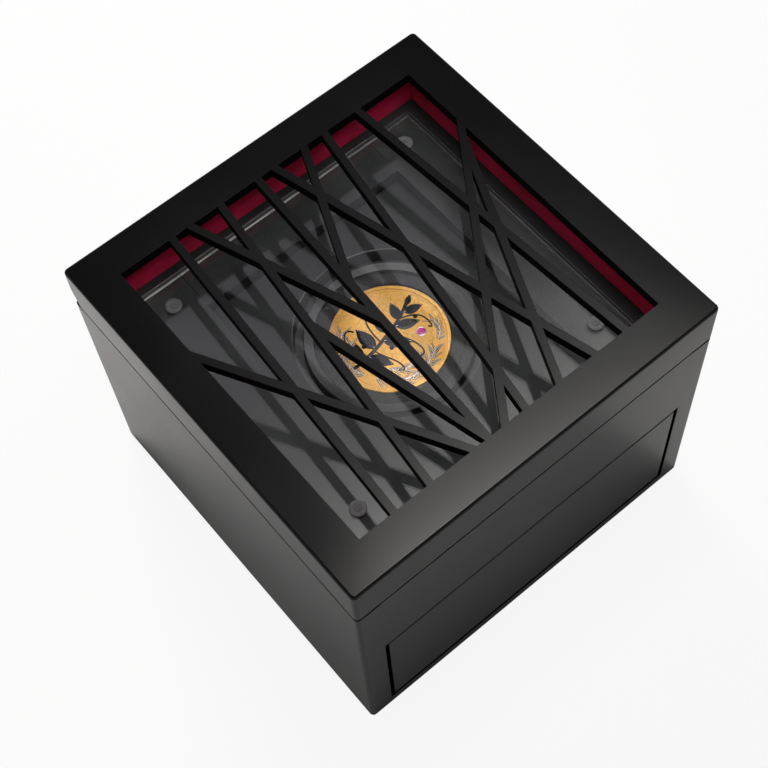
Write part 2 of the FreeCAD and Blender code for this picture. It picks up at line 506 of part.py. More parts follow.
def lid_rails(outline):
    bevel = tilted_box("lid_bevel", f"-{HALF_X} - wall", f"{HALF_X} + wall", f"-{BEVEL}", "wall * 2",
                       "-wall * 2", "lid_height * 2")
    for side, a, b in (("left", f"-{HALF_X}", f"-{RAIL_IN_X}"), ("right", RAIL_IN_X, HALF_X)):
        blank = box(f"rail_{side}_blank", (a, f"-{HALF_Y}", LID_LOW), (b, HALF_Y, FACE_LOW))
        node(cut(f"lid_rail_{side}", common(f"rail_{side}_trimmed", blank, outline), [bevel]))
    front = box("rail_front_blank", (f"-{RAIL_IN_X}", f"-{HALF_Y}", LID_LOW),
                (RAIL_IN_X, f"-{RAIL_IN_Y}", FACE_LOW))
    sockets = [cylinder(f"lid_socket_{i}", "magnet_radius + magnet_fit", "magnet_height",
                        (x, MAGNET_Y, LID_LOW))
               for i, x in enumerate(MAGNETS_X)]
    node(cut("lid_rail_front", front, sockets))
    back = box("rail_back_blank", (f"-{RAIL_IN_X}", RAIL_IN_Y, LID_LOW), (RAIL_IN_X, HALF_Y, FACE_LOW))
    tools = [bevel]
    for side, x in HINGES:
        tools.append(tilted_box(f"lid_mortise_{side}", f"{x} - hinge_width / 2 - leaf_fit",
                                f"{x} + hinge_width / 2 + leaf_fit", f"-{BEVEL} - leaf_thickness", "wall",
                                "-leaf_lap - leaf_fit", "lid_leaf_height - leaf_lap + leaf_fit"))
        tools += lid_hinge_screws(f"lid_pilot_{side}", x, "screw_clearance")
    node(cut("lid_rail_back", back, tools))


def bar_end(end, alias):
    """The place of a bar's end on the window's edge or along another bar, as two formulas."""
    where = end[0]
    across, along = f"({alias} * {WINDOW_X})", f"({alias} * {WINDOW_Y})"
    edges = {"back": (across, WINDOW_Y), "front": (across, f"-{WINDOW_Y}"),
             "left": (f"-{WINDOW_X}", along), "right": (WINDOW_X, along)}
    if where in edges:
        return edges[where]
    start, stop = next((bar_end(s, f"{n}_start"), bar_end(e, f"{n}_end")) for n, s, e in BARS if n == where)
    return tuple(f"({a} + ({b} - ({a})) * {alias})" for a, b in zip(start, stop))


def fret_bar(name, start, end):
    """A straight bar of the fretwork, let into the border where it meets the window's edge."""
    (x0, y0), (x1, y1) = bar_end(start, f"{name}_start"), bar_end(end, f"{name}_end")
    dx, dy = f"({x1} - ({x0}))", f"({y1} - ({y0}))"
    angle = f"atan2({dy}; {dx})"
    lap, far = ("0" if e[0].startswith("bar") else "bar_tenon" for e in (start, end))
    bar = doc.addObject("Part::Box", name)
    bind(bar, Length=f"sqrt({dx} ^ 2 + {dy} ^ 2) + {lap} + {far}", Width="bar_width",
         Height="face_thickness")
    turn(bar, (0, 0, 1), angle)
    place(bar, f"{x0} - {lap} * cos({angle}) + bar_width / 2 * sin({angle})",
          f"{y0} - {lap} * sin({angle}) - bar_width / 2 * cos({angle})", FACE_LOW)
    return bar


def lid_face(outline):
    slab = box("face_blank", (f"-{HALF_X}", f"-{HALF_Y}", FACE_LOW), (HALF_X, HALF_Y, LID_TOP))
    window = box("face_window", (f"-{WINDOW_X}", f"-{WINDOW_Y}", FACE_LOW), (WINDOW_X, WINDOW_Y, LID_TOP))
    frame = cut("face_frame", common("face_trimmed", slab, outline), [window])
    node(fuse("lid_face", [frame] + [fret_bar(*bar) for bar in BARS]))


def body_hinge_screws(name, x, spread):
    return [countersunk(f"{name}_{i}", "hinge_screw_head", "hinge_screw_radius", "body_screw_length", spread,
                        f"{x} + {i} * hinge_screw_spacing / 2", BODY_SCREW_Y, "rim_height", (1, 0, 0), "0")
            for i in (-1, 1)]


def lid_hinge_screws(name, x, spread):
    """Screws square to the bevel: the shank points into the rail."""
    y = f"{PIVOT_Y} - {BEVEL} * cos(bevel_angle) + {LID_SCREW_U} * sin(bevel_angle)"
    z = f"{PIVOT_Z} + {BEVEL} * sin(bevel_angle) + {LID_SCREW_U} * cos(bevel_angle)"
    return [countersunk(f"{name}_{i}", "hinge_screw_head", "hinge_screw_radius", "lid_screw_length", spread,
                        f"{x} + {i} * hinge_screw_spacing / 2", y, z, (1, 0, 0), "-90 - bevel_angle")
            for i in (-1, 1)]


def hinge(side, x):
    """One butt hinge: a leaf let into the rim, a leaf let into the lid's bevel, and the pin."""
    half = "hinge_width / 2"
    middle = "knuckle_length / 2"
    bore = cylinder(f"pin_bore_{side}", "hinge_pin_radius + hinge_pin_clearance", "hinge_width",
                    (f"{x} - {half}", PIVOT_Y, PIVOT_Z), "x")
    plate = box(f"body_leaf_plate_{side}",
                (f"{x} - {half}", f"{PIVOT_Y} - leaf_reach", "rim_height - leaf_thickness"),
                (f"{x} + {half}", f"{PIVOT_Y} + leaf_lap", "rim_height"))
    web = box(f"body_leaf_web_{side}",
              (f"{x} - {middle}", f"{PIVOT_Y} - leaf_lap", "rim_height - leaf_thickness"),
              (f"{x} + {middle}", f"{PIVOT_Y} + leaf_lap", f"{PIVOT_Z} - barrel_radius * 0.6"))
    knuckle = cylinder(f"body_knuckle_{side}", "barrel_radius", "knuckle_length",
                       (f"{x} - {middle}", PIVOT_Y, PIVOT_Z), "x")
    body = fuse(f"body_leaf_blank_{side}", [plate, web, knuckle])
    node(cut(f"hinge_body_leaf_{side}", body,
             [bore] + body_hinge_screws(f"body_sink_{side}", x, "screw_clearance")))

    parts = [tilted_box(f"lid_leaf_plate_{side}", f"{x} - {half}", f"{x} + {half}",
                        f"-{BEVEL} - leaf_thickness", f"-{BEVEL}", "-leaf_lap", "lid_leaf_height - leaf_lap")]
    spans = ((f"{x} - {half}", f"{x} - {middle} - knuckle_gap"),
             (f"{x} + {middle} + knuckle_gap", f"{x} + {half}"))
    for i, (a, b) in enumerate(spans):
        parts.append(cylinder(f"lid_knuckle_{side}_{i}", "barrel_radius", f"{b} - ({a})",
                              (a, PIVOT_Y, PIVOT_Z), "x"))
        parts.append(tilted_box(f"lid_leaf_web_{side}_{i}", a, b, f"-{BEVEL} - leaf_thickness / 2",
                                "-barrel_radius * 0.6", "-leaf_lap", "leaf_lap"))
    node(cut(f"hinge_lid_leaf_{side}", fuse(f"lid_leaf_blank_{side}", parts),
             [bore] + lid_hinge_screws(f"lid_sink_{side}", x, "screw_clearance")))
    node(cylinder(f"hinge_pin_{side}", "hinge_pin_radius", "hinge_width",
                  (f"{x} - {half}", PIVOT_Y, PIVOT_Z), "x"))


def hinges():
    for side, x in HINGES:
        hinge(side, x)
    node(group("hinge_body_screws",
               [s for side, x in HINGES for s in body_hinge_screws(f"rim_screw_{side}", x, "0")]))
    node(group("hinge_lid_screws",
               [s for side, x in HINGES for s in lid_hinge_screws(f"lid_screw_{side}", x, "0")]))


def build():
    fill_sheet()
    outline = case_outline()
    case_boards(outline)
    lining()
    display_well()
    coin_and_capsule()
    drawer()
    drawer_guides()
    push_latch()
    magnets()
    lid_rails(outline)
    lid_face(outline)
    hinges()
    doc.recompute()


def write_parts():
    """Checks every object and sub-part, then writes one file per node."""
    failed = [o.Name for o in doc.Objects if {"Invalid", "Error"} & set(o.State)]
    if failed:
        raise RuntimeError(f"failed objects: {failed}")
    for obj in nodes:
        shape = obj.Shape
        if shape.isNull() or not shape.isValid() or not shape.Solids:
            raise RuntimeError(f"bad shape: {obj.Label}")
    os.makedirs("parts", exist_ok=True)
    for obj in nodes:
        obj.Shape.exportStep(f"parts/{obj.Label}.step")
        print(f"{obj.Label}: {len(obj.Shape.Solids)} solid(s), {obj.Shape.Volume:.1f} mm3")


build()
write_parts()
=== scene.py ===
"""Coin case: looks for a square black lacquered case with a fretwork lid, a coin under a clear cover plate in
a red lined well, and a flush drawer.

Metres, +Z up, the drawer front towards -Y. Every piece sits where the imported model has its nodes.
"""
import contextlib
import json
import math

import bmesh
import bpy
from mathutils import Matrix, Vector

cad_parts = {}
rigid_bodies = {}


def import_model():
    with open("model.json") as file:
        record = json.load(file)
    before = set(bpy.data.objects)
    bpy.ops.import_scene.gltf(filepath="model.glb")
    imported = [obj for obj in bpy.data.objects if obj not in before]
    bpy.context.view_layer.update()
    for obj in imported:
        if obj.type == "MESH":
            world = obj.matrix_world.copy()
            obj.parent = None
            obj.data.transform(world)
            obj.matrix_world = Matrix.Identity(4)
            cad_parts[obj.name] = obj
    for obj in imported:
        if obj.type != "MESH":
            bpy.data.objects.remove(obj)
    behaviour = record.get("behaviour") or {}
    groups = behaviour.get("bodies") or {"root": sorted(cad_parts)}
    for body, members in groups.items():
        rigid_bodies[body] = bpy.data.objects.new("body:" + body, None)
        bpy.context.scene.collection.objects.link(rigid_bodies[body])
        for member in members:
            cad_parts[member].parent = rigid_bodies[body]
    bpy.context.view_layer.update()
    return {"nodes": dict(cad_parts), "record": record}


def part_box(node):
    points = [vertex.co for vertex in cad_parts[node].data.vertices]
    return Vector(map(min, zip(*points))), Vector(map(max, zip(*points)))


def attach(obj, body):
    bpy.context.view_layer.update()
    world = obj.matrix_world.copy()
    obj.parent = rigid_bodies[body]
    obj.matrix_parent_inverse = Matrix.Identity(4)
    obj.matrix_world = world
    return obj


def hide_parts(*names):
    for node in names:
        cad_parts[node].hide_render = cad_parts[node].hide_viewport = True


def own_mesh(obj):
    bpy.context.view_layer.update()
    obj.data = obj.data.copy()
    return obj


bl_info = {
    "name": "Coin case",
    "version": (1, 0, 0),
    "blender": (4, 5, 0),
    "location": "View3D > Sidebar > Coin case",
    "description": "Builds the pieces, finishes and studio of a lacquered coin case",
    "category": "Object",
}

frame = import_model()
MM = 0.001
# Places closer than this count as one.
TOUCH = 0.01 * MM
# A normal's share along Z from which a face counts as level.
LEVEL = 0.99
# Faces that meet at more than this make a sharp edge.
SHARP = math.radians(28)
# Rounding of the edges of inner boards.
BOARD_ARRIS = 0.4 * MM
# Width across the head of a screw.
SCREW_HEAD = 2.4 * MM
SIDES = ("left", "right", "front", "back")


# Settings

def length_setting(name, description, default):
    return bpy.props.FloatProperty(
        name=name, description=description, default=default, min=0.0, unit="LENGTH", precision=5)


def colour_setting(name, description, default):
    return bpy.props.FloatVectorProperty(
        name=name, description=description, default=default, subtype="COLOR", size=3, min=0.0, max=1.0)


def point_setting(name, description, default):
    return bpy.props.FloatVectorProperty(
        name=name, description=description, default=default, subtype="TRANSLATION", size=3, unit="LENGTH")


def power_setting(name, description, default):
    return bpy.props.FloatProperty(
        name=name, description=description, default=default, min=0.0, subtype="POWER")


class CaseSizes(bpy.types.PropertyGroup):
    """Small sizes that the finished pieces add to the boards."""
    arris: length_setting("Arris", "Rounding of a lacquered board's free edges", 0.35 * MM)
    seam_arris: length_setting("Seam arris", "Rounding of the lid's lower edges, along the seam", 0.9 * MM)
    fret_arris: length_setting("Fretwork arris", "Rounding of the fretwork's edges", 0.3 * MM)
    velvet_fold: length_setting("Velvet fold", "Radius of the velvet where it turns over its card", 0.35 * MM)
    plate_chamfer: length_setting("Plate chamfer", "Width of the chamfer round the cover plate", 0.7 * MM)
    coin_reeds: bpy.props.IntProperty(
        name="Reeds", description="Reeds on the coin's edge", default=120, min=24, max=240)
    leaf_length: length_setting("Leaf", "Length of the longest leaf on the coin", 12.5 * MM)
    spring_turns: bpy.props.IntProperty(
        name="Spring turns", description="Turns of the latch's spring", default=8, min=2, max=20)


class CaseColours(bpy.types.PropertyGroup):
    """Colours that a user would change."""
    lacquer: colour_setting("Lacquer", "Satin lacquer on the outer boards", (0.0045, 0.0045, 0.0047))
    lining_board: colour_setting("Lining board", "Black board in the display well", (0.0195, 0.020, 0.0205))
    velvet: colour_setting("Velvet", "Red velvet of the lining", (0.58, 0.0075, 0.058))
    gold: colour_setting("Gold", "Struck gold of the coin", (0.87, 0.49, 0.135))
    gunmetal: colour_setting("Gunmetal", "Dark plated relief on the coin", (0.028, 0.028, 0.034))
    silver: colour_setting("Silver", "Silver lines on the coin", (0.80, 0.74, 0.74))
    stone: colour_setting("Stone", "Set stone on the coin", (0.45, 0.008, 0.22))
    wood: colour_setting("Plain wood", "Unfinished wood of runners and cleats", (0.42, 0.28, 0.16))


class CaseStudio(bpy.types.PropertyGroup):
    """Camera and lamps."""
    lens: bpy.props.FloatProperty(
        name="Lens", description="Focal length on a 36 mm sensor, in millimetres", default=74.238, min=1.0)
    place: point_setting("Camera", "Place of the camera", (-0.186414, -0.258040, 0.663121))
    aim: point_setting("Aim", "Point in the middle of the picture", (-0.00524, -0.00031, 0.0715))
    roll: bpy.props.FloatProperty(
        name="Roll", description="Turn of the camera about its view", subtype="ANGLE",
        default=math.radians(-5.296))
    softbox: power_setting("Softbox", "Power of the softbox over the lid", 2.2)
    key: power_setting("Key", "Power of the lamp behind the right side", 4.6)
    fill: power_setting("Fill", "Power of the lamp on the left", 0.35)
    well: power_setting("Well light", "Power of the lamp that reaches into the lined well", 0.125)
    ambient: bpy.props.FloatProperty(
        name="Ambient", description="Even light from all round", default=0.13, min=0.0, max=1.0)


# Modelling

def choose(*pieces):
    """Selects these objects and nothing else. The first one is active."""
    bpy.ops.object.select_all(action="DESELECT")
    for piece in pieces:
        piece.select_set(True)
    bpy.context.view_layer.objects.active = pieces[0]


@contextlib.contextmanager
def editing(piece):
    """Edit mode on one piece."""
    choose(piece)
    bpy.ops.object.mode_set(mode="EDIT")
    yield
    bpy.ops.object.mode_set(mode="OBJECT")


def pick(kind, test):
    """Selects the verts, edges or faces of the edited mesh that pass a test, and nothing else."""
    mesh = bpy.context.edit_object.data
    bpy.ops.mesh.select_mode(type=kind)
    bpy.ops.mesh.select_all(action="DESELECT")
    shape = bmesh.from_edit_mesh(mesh)
    shape.normal_update()
    parts = {"VERT": shape.verts, "EDGE": shape.edges, "FACE": shape.faces}[kind]
    for part in parts:
        if test(part):
            part.select_set(True)
    shape.select_flush_mode()
    bmesh.update_edit_mesh(mesh)


def middle(part):
    """The middle of an edge or face."""
    return sum((v.co for v in part.verts), Vector()) / len(part.verts)


def sharp(edge):
    return len(edge.link_faces) == 2 and edge.calc_face_angle() > SHARP


def named(name):
    """The object just added, with a name."""
    piece = bpy.context.object
    piece.name = name
    piece.data.name = name
    return piece


def added(name, primitive, **settings):
    """A new primitive, with its size and place put in its mesh."""
    bpy.ops.object.select_all(action="DESELECT")
    primitive(**settings)
    piece = named(name)
    bpy.ops.object.transform_apply(location=True, rotation=True, scale=True)
    return piece


def stepped(profile):
    """Insets the picked faces in steps, each so far inwards and upwards in millimetres."""
    for step, rise in profile:
        bpy.ops.mesh.inset(thickness=step * MM, depth=rise * MM)


def cad_copy(node):
    """A merged copy of a CAD node's mesh, with its flat faces whole."""
    name = f"{node}_piece"
    piece = bpy.data.objects.new(name, frame["nodes"][node].data.copy())
    piece.data.name = name
    bpy.context.scene.collection.objects.link(piece)
    choose(piece)
    bpy.ops.mesh.customdata_custom_splitnormals_clear()
    with editing(piece):
        bpy.ops.mesh.select_all(action="SELECT")
        bpy.ops.mesh.remove_doubles(threshold=0.002 * MM)
        bpy.ops.mesh.dissolve_limited(angle_limit=math.radians(0.5))
    return piece


def soften(piece, width, test=None, segments=2):
    """Rounds over the sharp edges of a piece, or those that pass a test."""
    with editing(piece):
        pick("EDGE", lambda e: sharp(e) and (test is None or test(e)))
        bpy.ops.mesh.bevel(offset=width, segments=segments, affect="EDGES", clamp_overlap=True)
    return piece


def apply(piece, kind, **settings):
    """Adds a modifier with its settings and applies it."""
    choose(piece)
    modifier = piece.modifiers.new(kind.lower(), kind)
    for key, value in settings.items():
        setattr(modifier, key, value)
    bpy.ops.object.modifier_apply(modifier=modifier.name)
    return piece


def copy_of(piece, name, matrix):
    """A copy with its own mesh, moved by a matrix."""
    other = bpy.data.objects.new(name, piece.data.copy())
    other.data.name = name
    other.data.transform(matrix)
    bpy.context.scene.collection.objects.link(other)
    return other


def joined(pieces, name):
    choose(*pieces)
    bpy.ops.object.join()
    return named(name)


def loose_parts(piece):
    """The separate shells of a piece, each as an object of its own."""
    before = set(bpy.data.objects)
    with editing(piece):
        bpy.ops.mesh.select_all(action="SELECT")
        bpy.ops.mesh.separate(type="LOOSE")
    return [piece, *(o for o in bpy.data.objects if o not in before)]


def flat_face(face):
    return abs(face.normal.z) > LEVEL


def upper_face(face):
    return face.normal.z > LEVEL


def lower_face(face):
    return face.normal.z < -LEVEL


def dressed(piece, slot, body, *nodes, finish=None, angle=32):
    """Puts a piece's place in its mesh, gives it its slot's finish or another, and lets it ride on its body.

    Edges sharper than the angle in degrees stay sharp, and broad faces stay flat up to a rounded edge.
    """
    choose(piece)
    bpy.ops.object.transform_apply(location=True, rotation=True, scale=True)
    bpy.ops.object.shade_smooth_by_angle(angle=math.radians(angle))
    apply(piece, "WEIGHTED_NORMAL", weight=100, keep_sharp=True)
    piece.data.materials.clear()
    piece.data.materials.append(finish or finish_for(slot))
    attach(piece, body)
    if nodes:
        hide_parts(*nodes)
    return piece


def faced(piece, finish, test):
    """Gives the faces of a piece that pass a test a finish of their own."""
    piece.data.materials.append(finish)
    for face in piece.data.polygons:
        if test(face):
            face.material_index = len(piece.data.materials) - 1


def paint(node, finish):
    """Gives a CAD node a finish."""
    mesh = frame["nodes"][node].data
    mesh.materials.clear()
    mesh.materials.append(finish)


def body_of(node):
    return next(b for b, members in frame["record"]["behaviour"]["bodies"].items() if node in members)


# Finishes

class Value:
    """A shader socket that can stand in Python sums."""

    def __init__(self, finish, socket):
        self.finish = finish
        self.socket = socket

    def maths(self, operation, first, second):
        return self.finish.node("ShaderNodeMath", {"operation": operation}, {0: first, 1: second})

    def __add__(self, other):
        return self.maths("ADD", self, other)

    def __radd__(self, other):
        return self.maths("ADD", other, self)

    def __sub__(self, other):
        return self.maths("SUBTRACT", self, other)

    def __rsub__(self, other):
        return self.maths("SUBTRACT", other, self)

    def __mul__(self, other):
        return self.maths("MULTIPLY", self, other)

    def __rmul__(self, other):
        return self.maths("MULTIPLY", other, self)

    def __gt__(self, other):
        return self.maths("GREATER_THAN", self, other)

    def __lt__(self, other):
        return self.maths("LESS_THAN", self, other)


class Finish:
    """The node tree of a material, lamp or world, with one method that adds any node."""

    def __init__(self, owner):
        owner.use_nodes = True
        self.owner = owner
        self.tree = owner.node_tree
        self.tree.nodes.clear()

    def node(self, kind, settings=None, sockets=None, output=0):
        """Adds a node: its settings first, then the values or links of its sockets."""
        made = self.tree.nodes.new(kind)
        for key, value in (settings or {}).items():
            if key == "stops":
                for stop, (place, colour) in zip(self.stops(made, len(value)), value):
                    stop.position = place
                    stop.color = (*colour, 1.0)
            else:
                setattr(made, key, value)
        for key, value in (sockets or {}).items():
            self.feed(made.inputs[key], value)
        return Value(self, made.outputs[output])

    @staticmethod
    def stops(ramp, count):
        while len(ramp.color_ramp.elements) < count:
            ramp.color_ramp.elements.new(0.5)
        return ramp.color_ramp.elements

    def feed(self, socket, value):
        if isinstance(value, Value):
            self.tree.links.new(value.socket, socket)
        elif socket.type == "RGBA" and len(value) == 3:
            socket.default_value = (*value, 1.0)
        else:
            socket.default_value = value

    def object_place(self):
        return self.node("ShaderNodeTexCoord", output="Object")

    def axis(self, place, axis):
        return self.node("ShaderNodeSeparateXYZ", {}, {0: place}, output=axis)

    def object_axis(self, axis):
        return self.axis(self.object_place(), axis)

    def ray(self, kind):
        """One for the rays of a kind and zero for all others."""
        return self.node("ShaderNodeLightPath", output=f"Is {kind} Ray")

    def stretched(self, scale, turn=(0.0, 0.0, 0.0)):
        return self.node("ShaderNodeMapping", {}, {
            "Vector": self.object_place(), "Rotation": turn, "Scale": scale})

    def noise(self, scale, detail=2.0, place=None, rough=0.5):
        return self.node("ShaderNodeTexNoise", {}, {
            "Vector": place or self.object_place(), "Scale": scale, "Detail": detail, "Roughness": rough})

    def cells(self, scale, feature="F1"):
        return self.node("ShaderNodeTexVoronoi", {"feature": feature}, {
            "Vector": self.object_place(), "Scale": scale}, output="Distance")

    def mix(self, share, first, second):
        """Two colours in a share."""
        return self.node("ShaderNodeMix", {"data_type": "RGBA"}, {0: share, 6: first, 7: second}, output=2)

    def range(self, value, low, high, to_low=0.0, to_high=1.0):
        return self.node("ShaderNodeMapRange", {"clamp": True}, {
            "Value": value, "From Min": low, "From Max": high, "To Min": to_low, "To Max": to_high})

    def bump(self, height, distance, strength=1.0):
        return self.node("ShaderNodeBump", {}, {
            "Height": height, "Distance": distance, "Strength": strength})

    def shade(self, sockets):
        """The main shader with its sockets, joined to the output. Returns the finished material."""
        return self.show(self.node("ShaderNodeBsdfPrincipled", {}, sockets))

    def show(self, shader, kind="ShaderNodeOutputMaterial"):
        """Joins a shader to the tree's output. Returns what the tree belongs to."""
        output = self.tree.nodes.new(kind)
        self.tree.links.new(shader.socket, output.inputs["Surface"])
        return self.owner


def new_finish(name):
    return Finish(bpy.data.materials.new(name))


def shade_of(colour, factor):
    return tuple(min(1.0, c * factor) for c in colour)


def satin_lacquer():
    """Sprayed black lacquer: soft sheen, fine orange peel and a faint cloudiness."""
    f = new_finish("satin_black_lacquer")
    black = bpy.context.scene.case_colours.lacquer
    cloud = f.range(f.noise(16.0, 3.0), 0.35, 0.65)
    peel = f.noise(380.0, 2.0)
    grit = f.noise(2600.0, 1.0)
    return f.shade({
        "Base Color": f.mix(cloud, shade_of(black, 0.8), shade_of(black, 1.25)),
        "Roughness": 0.15 + 0.03 * cloud + 0.05 * grit, "Specular IOR Level": 0.28,
        "Normal": f.bump(0.75 * peel + 0.25 * grit, 0.012 * MM, 0.6)})


def matt_black_and_seam_shadow():
    """Thin matt black spray on the fretwork's cut walls; also a painted shadow along the lid's seam."""
    f = new_finish("matt_black_and_painted_seam_shadow")
    saw = f.noise(1500.0, 2.0, f.stretched((1.0, 1.0, 0.1)))
    return f.shade({
        "Base Color": f.mix(saw, (0.0008, 0.0008, 0.0008), (0.002, 0.002, 0.002)),
        "Roughness": 0.7 + 0.2 * saw, "Specular IOR Level": 0.06,
        "Normal": f.bump(saw, 0.02 * MM, 0.5)})


def black_paper_board():
    """Board covered with fine grained black paper."""
    f = new_finish("black_paper_board")
    black = bpy.context.scene.case_colours.lining_board
    fibre = f.noise(4200.0, 3.0, f.stretched((1.0, 0.5, 1.0)))
    cloud = f.noise(30.0, 2.0)
    return f.shade({
        "Base Color": f.mix(f.range(0.6 * fibre + 0.4 * cloud, 0.35, 0.65),
                            shade_of(black, 0.8), shade_of(black, 1.25)),
        "Roughness": 0.65 + 0.2 * fibre, "Specular IOR Level": 0.16,
        "Normal": f.bump(fibre, 0.004 * MM, 0.3)})


def wood(name, dark, light, rough):
    """Straight grained wood, its grain along the case's depth."""
    f = new_finish(name)
    rings = f.noise(160.0, 4.0, f.stretched((1.0, 0.06, 1.0)), 0.6)
    pores = f.noise(1400.0, 2.0, f.stretched((1.0, 0.03, 1.0)))
    grain = f.range(rings, 0.3, 0.7)
    return f.shade({
        "Base Color": f.mix(0.7 * grain + 0.3 * pores, dark, light),
        "Roughness": rough + 0.15 * pores,
        "Normal": f.bump(0.4 * grain + 0.6 * pores, 0.05 * MM, 0.5)})


def stained_wood():
    return wood("black_stained_wood", (0.010, 0.0095, 0.009), (0.034, 0.030, 0.027), rough=0.45)


def plain_wood():
    colour = bpy.context.scene.case_colours.wood
    return wood("plain_wood", shade_of(colour, 0.75), shade_of(colour, 1.15), rough=0.55)


def red_velvet():
    """Short pile: fine tufts, patches where the nap lies over, a sheen, and a painted sheen: paler pink
    towards its foot.
    """
    f = new_finish("red_velvet")
    red = bpy.context.scene.case_colours.velvet
    tufts = f.noise(2200.0, 2.0)
    nap = f.noise(55.0, 3.0, f.stretched((1.0, 1.0, 2.2)))
    lay = f.range(0.45 * tufts + 0.55 * nap, 0.36, 0.64)
    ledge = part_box("ledge_back")[1].z
    height = f.object_axis("Z")
    # Painted sheen: the velvet turns paler pink over the lowest 8 mm above the ledge.
    painted_foot_sheen = f.range(height, ledge + 8.0 * MM, ledge) * (height > ledge - 2.0 * MM)
    pile = f.mix(lay, shade_of(red, 0.6), tuple(c * k for c, k in zip(red, (1.3, 1.2, 1.7))))
    return f.shade({
        "Base Color": f.mix(0.5 * painted_foot_sheen, pile, (0.68, 0.022, 0.10)),
        "Roughness": 0.75 + 0.2 * tufts,
        "Sheen Weight": 0.35, "Sheen Roughness": 0.4, "Sheen Tint": (0.9, 0.25, 0.28),
        "Specular IOR Level": 0.2,
        "Normal": f.bump(tufts, 0.12 * MM, 0.7)})


def clear(name, colour, rough, transmission, index, smear_scale, front_shade=0.0):
    """A clear plastic that lets the lamps through, with faint smears and specks, and if asked a painted shade
    that darkens it towards the front.
    """
    f = new_finish(name)
    smear = f.range(f.noise(smear_scale, 4.0), 0.42, 0.75)
    specks_and_shade = 0.5 * f.range(f.noise(900.0, 1.0), 0.66, 0.74)
    # Painted shade: darker from 26 mm towards the front.
    if front_shade:
        specks_and_shade = specks_and_shade + front_shade * f.range(f.object_axis("Y"), 26.0 * MM, -4.0 * MM)
    body = f.node("ShaderNodeBsdfPrincipled", {}, {
        "Base Color": f.mix(specks_and_shade, colour, shade_of(colour, 0.9 - 0.8 * front_shade)),
        "Roughness": rough + 0.03 * smear,
        "IOR": index, "Transmission Weight": transmission})
    through = f.node("ShaderNodeBsdfTransparent", {}, {"Color": shade_of(colour, 0.97)})
    lamp = f.ray("Shadow")
    return f.show(f.node("ShaderNodeMixShader", {}, {0: lamp, 1: body, 2: through}))


def clear_acrylic():
    return clear("clear_acrylic", (0.99, 0.995, 0.995), rough=0.0,
                 transmission=1.0, index=1.49, smear_scale=24.0)


def clear_nylon():
    return clear("clear_nylon", (0.24, 0.243, 0.248), rough=0.32,
                 transmission=0.6, index=1.3, smear_scale=300.0)


def scraped(name, tone, scale, polish=0.0, axis="X", start=20.0 * MM, end=56.0 * MM):
    """An edge that was scraped or sawn matt; polish gives the share of a painted shade that darkens it from
    start to end.
    """
    f = new_finish(name)
    lines = f.noise(scale, 2.0)
    grey = f.mix(lines, (0.86 * tone,) * 3, (1.1 * tone,) * 3)
    # Painted shade: darker from start to end along the axis.
    if polish:
        grey = f.mix(polish * f.range(f.object_axis(axis), start, end), grey, (0.03,) * 3)
    return f.shade({
        "Base Color": grey,
        "Roughness": 0.5 + 0.2 * lines, "IOR": 1.49})


def metal(name, colour, rough, grain=700.0, depth=0.01, vary=0.12, stretch=(1.0, 1.0, 1.0)):
    """A plated or struck metal with a fine texture, its depth in millimetres, and uneven polish."""
    f = new_finish(name)
    fine = f.noise(grain, 3.0, f.stretched(stretch))
    broad = f.range(f.noise(60.0, 2.0), 0.35, 0.65)
    return f.shade({
        "Base Color": f.mix(0.5 * fine + 0.5 * broad,
                            shade_of(colour, 1.0 - vary), shade_of(colour, 1.0 + vary)),
        "Metallic": 1.0,
        "Roughness": rough + 0.08 * fine + 0.05 * broad,
        "Normal": f.bump(fine, depth * MM, 0.5)})


def struck_gold():
    """Struck gold: a satin field with patches of fine engraved veins and an uneven polish."""
    f = new_finish("struck_gold")
    gold = bpy.context.scene.case_colours.gold
    fine = f.noise(1300.0, 3.0)
    broad = f.range(f.noise(90.0, 2.0), 0.35, 0.65)
    vein = f.range(f.cells(430.0, "DISTANCE_TO_EDGE"), 0.10, 0.02) * f.range(f.noise(150.0, 2.0), 0.47, 0.56)
    tone = f.mix(0.5 * fine + 0.5 * broad, shade_of(gold, 0.86), shade_of(gold, 1.14))
    return f.shade({
        "Base Color": f.mix(0.4 * vein, tone, shade_of(gold, 0.3)),
        "Metallic": 1.0,
        "Roughness": 0.36 + 0.08 * fine + 0.05 * broad,
        "Normal": f.bump(0.3 * fine - vein, 0.05 * MM, 0.5)})


def gunmetal():
    dark = bpy.context.scene.case_colours.gunmetal
    return metal("gunmetal_plate", dark, rough=0.30, grain=1600.0, depth=0.02)


def silver_line():
    return metal("silver_line", bpy.context.scene.case_colours.silver, rough=0.24, grain=1600.0)


def nickel():
    return metal("bright_nickel", (0.72, 0.70, 0.66), rough=0.18, grain=500.0, depth=0.004)


def black_steel():
    return metal("black_satin_steel", (0.055, 0.055, 0.058), rough=0.34, grain=900.0, vary=0.2)


def zinc_steel():
    return metal("zinc_plated_steel", (0.58, 0.58, 0.60), rough=0.28, grain=500.0, vary=0.15,
                 stretch=(1.0, 0.15, 1.0))


def magenta_stone():
    """A cut stone with painted light and shade: lighter and darker cells stand for lit and shaded facets."""
    f = new_finish("magenta_stone")
    stone = bpy.context.scene.case_colours.stone
    # Painted light and shade on the facets.
    depth = f.range(f.cells(900.0), 0.2, 0.7)
    return f.shade({
        "Base Color": f.mix(depth, shade_of(stone, 1.5), shade_of(stone, 0.45)),
        "Roughness": 0.08 + 0.06 * depth, "IOR": 1.77, "Coat Weight": 1.0, "Coat Roughness": 0.03})


def black_foam():
    f = new_finish("black_foam")
    cells = f.cells(1700.0)
    return f.shade({
        "Base Color": f.mix(f.range(cells, 0.1, 0.6), (0.006, 0.006, 0.006), (0.026, 0.026, 0.027)),
        "Roughness": 0.85 + 0.1 * cells,
        "Normal": f.bump(cells, 0.15 * MM, 0.8)})


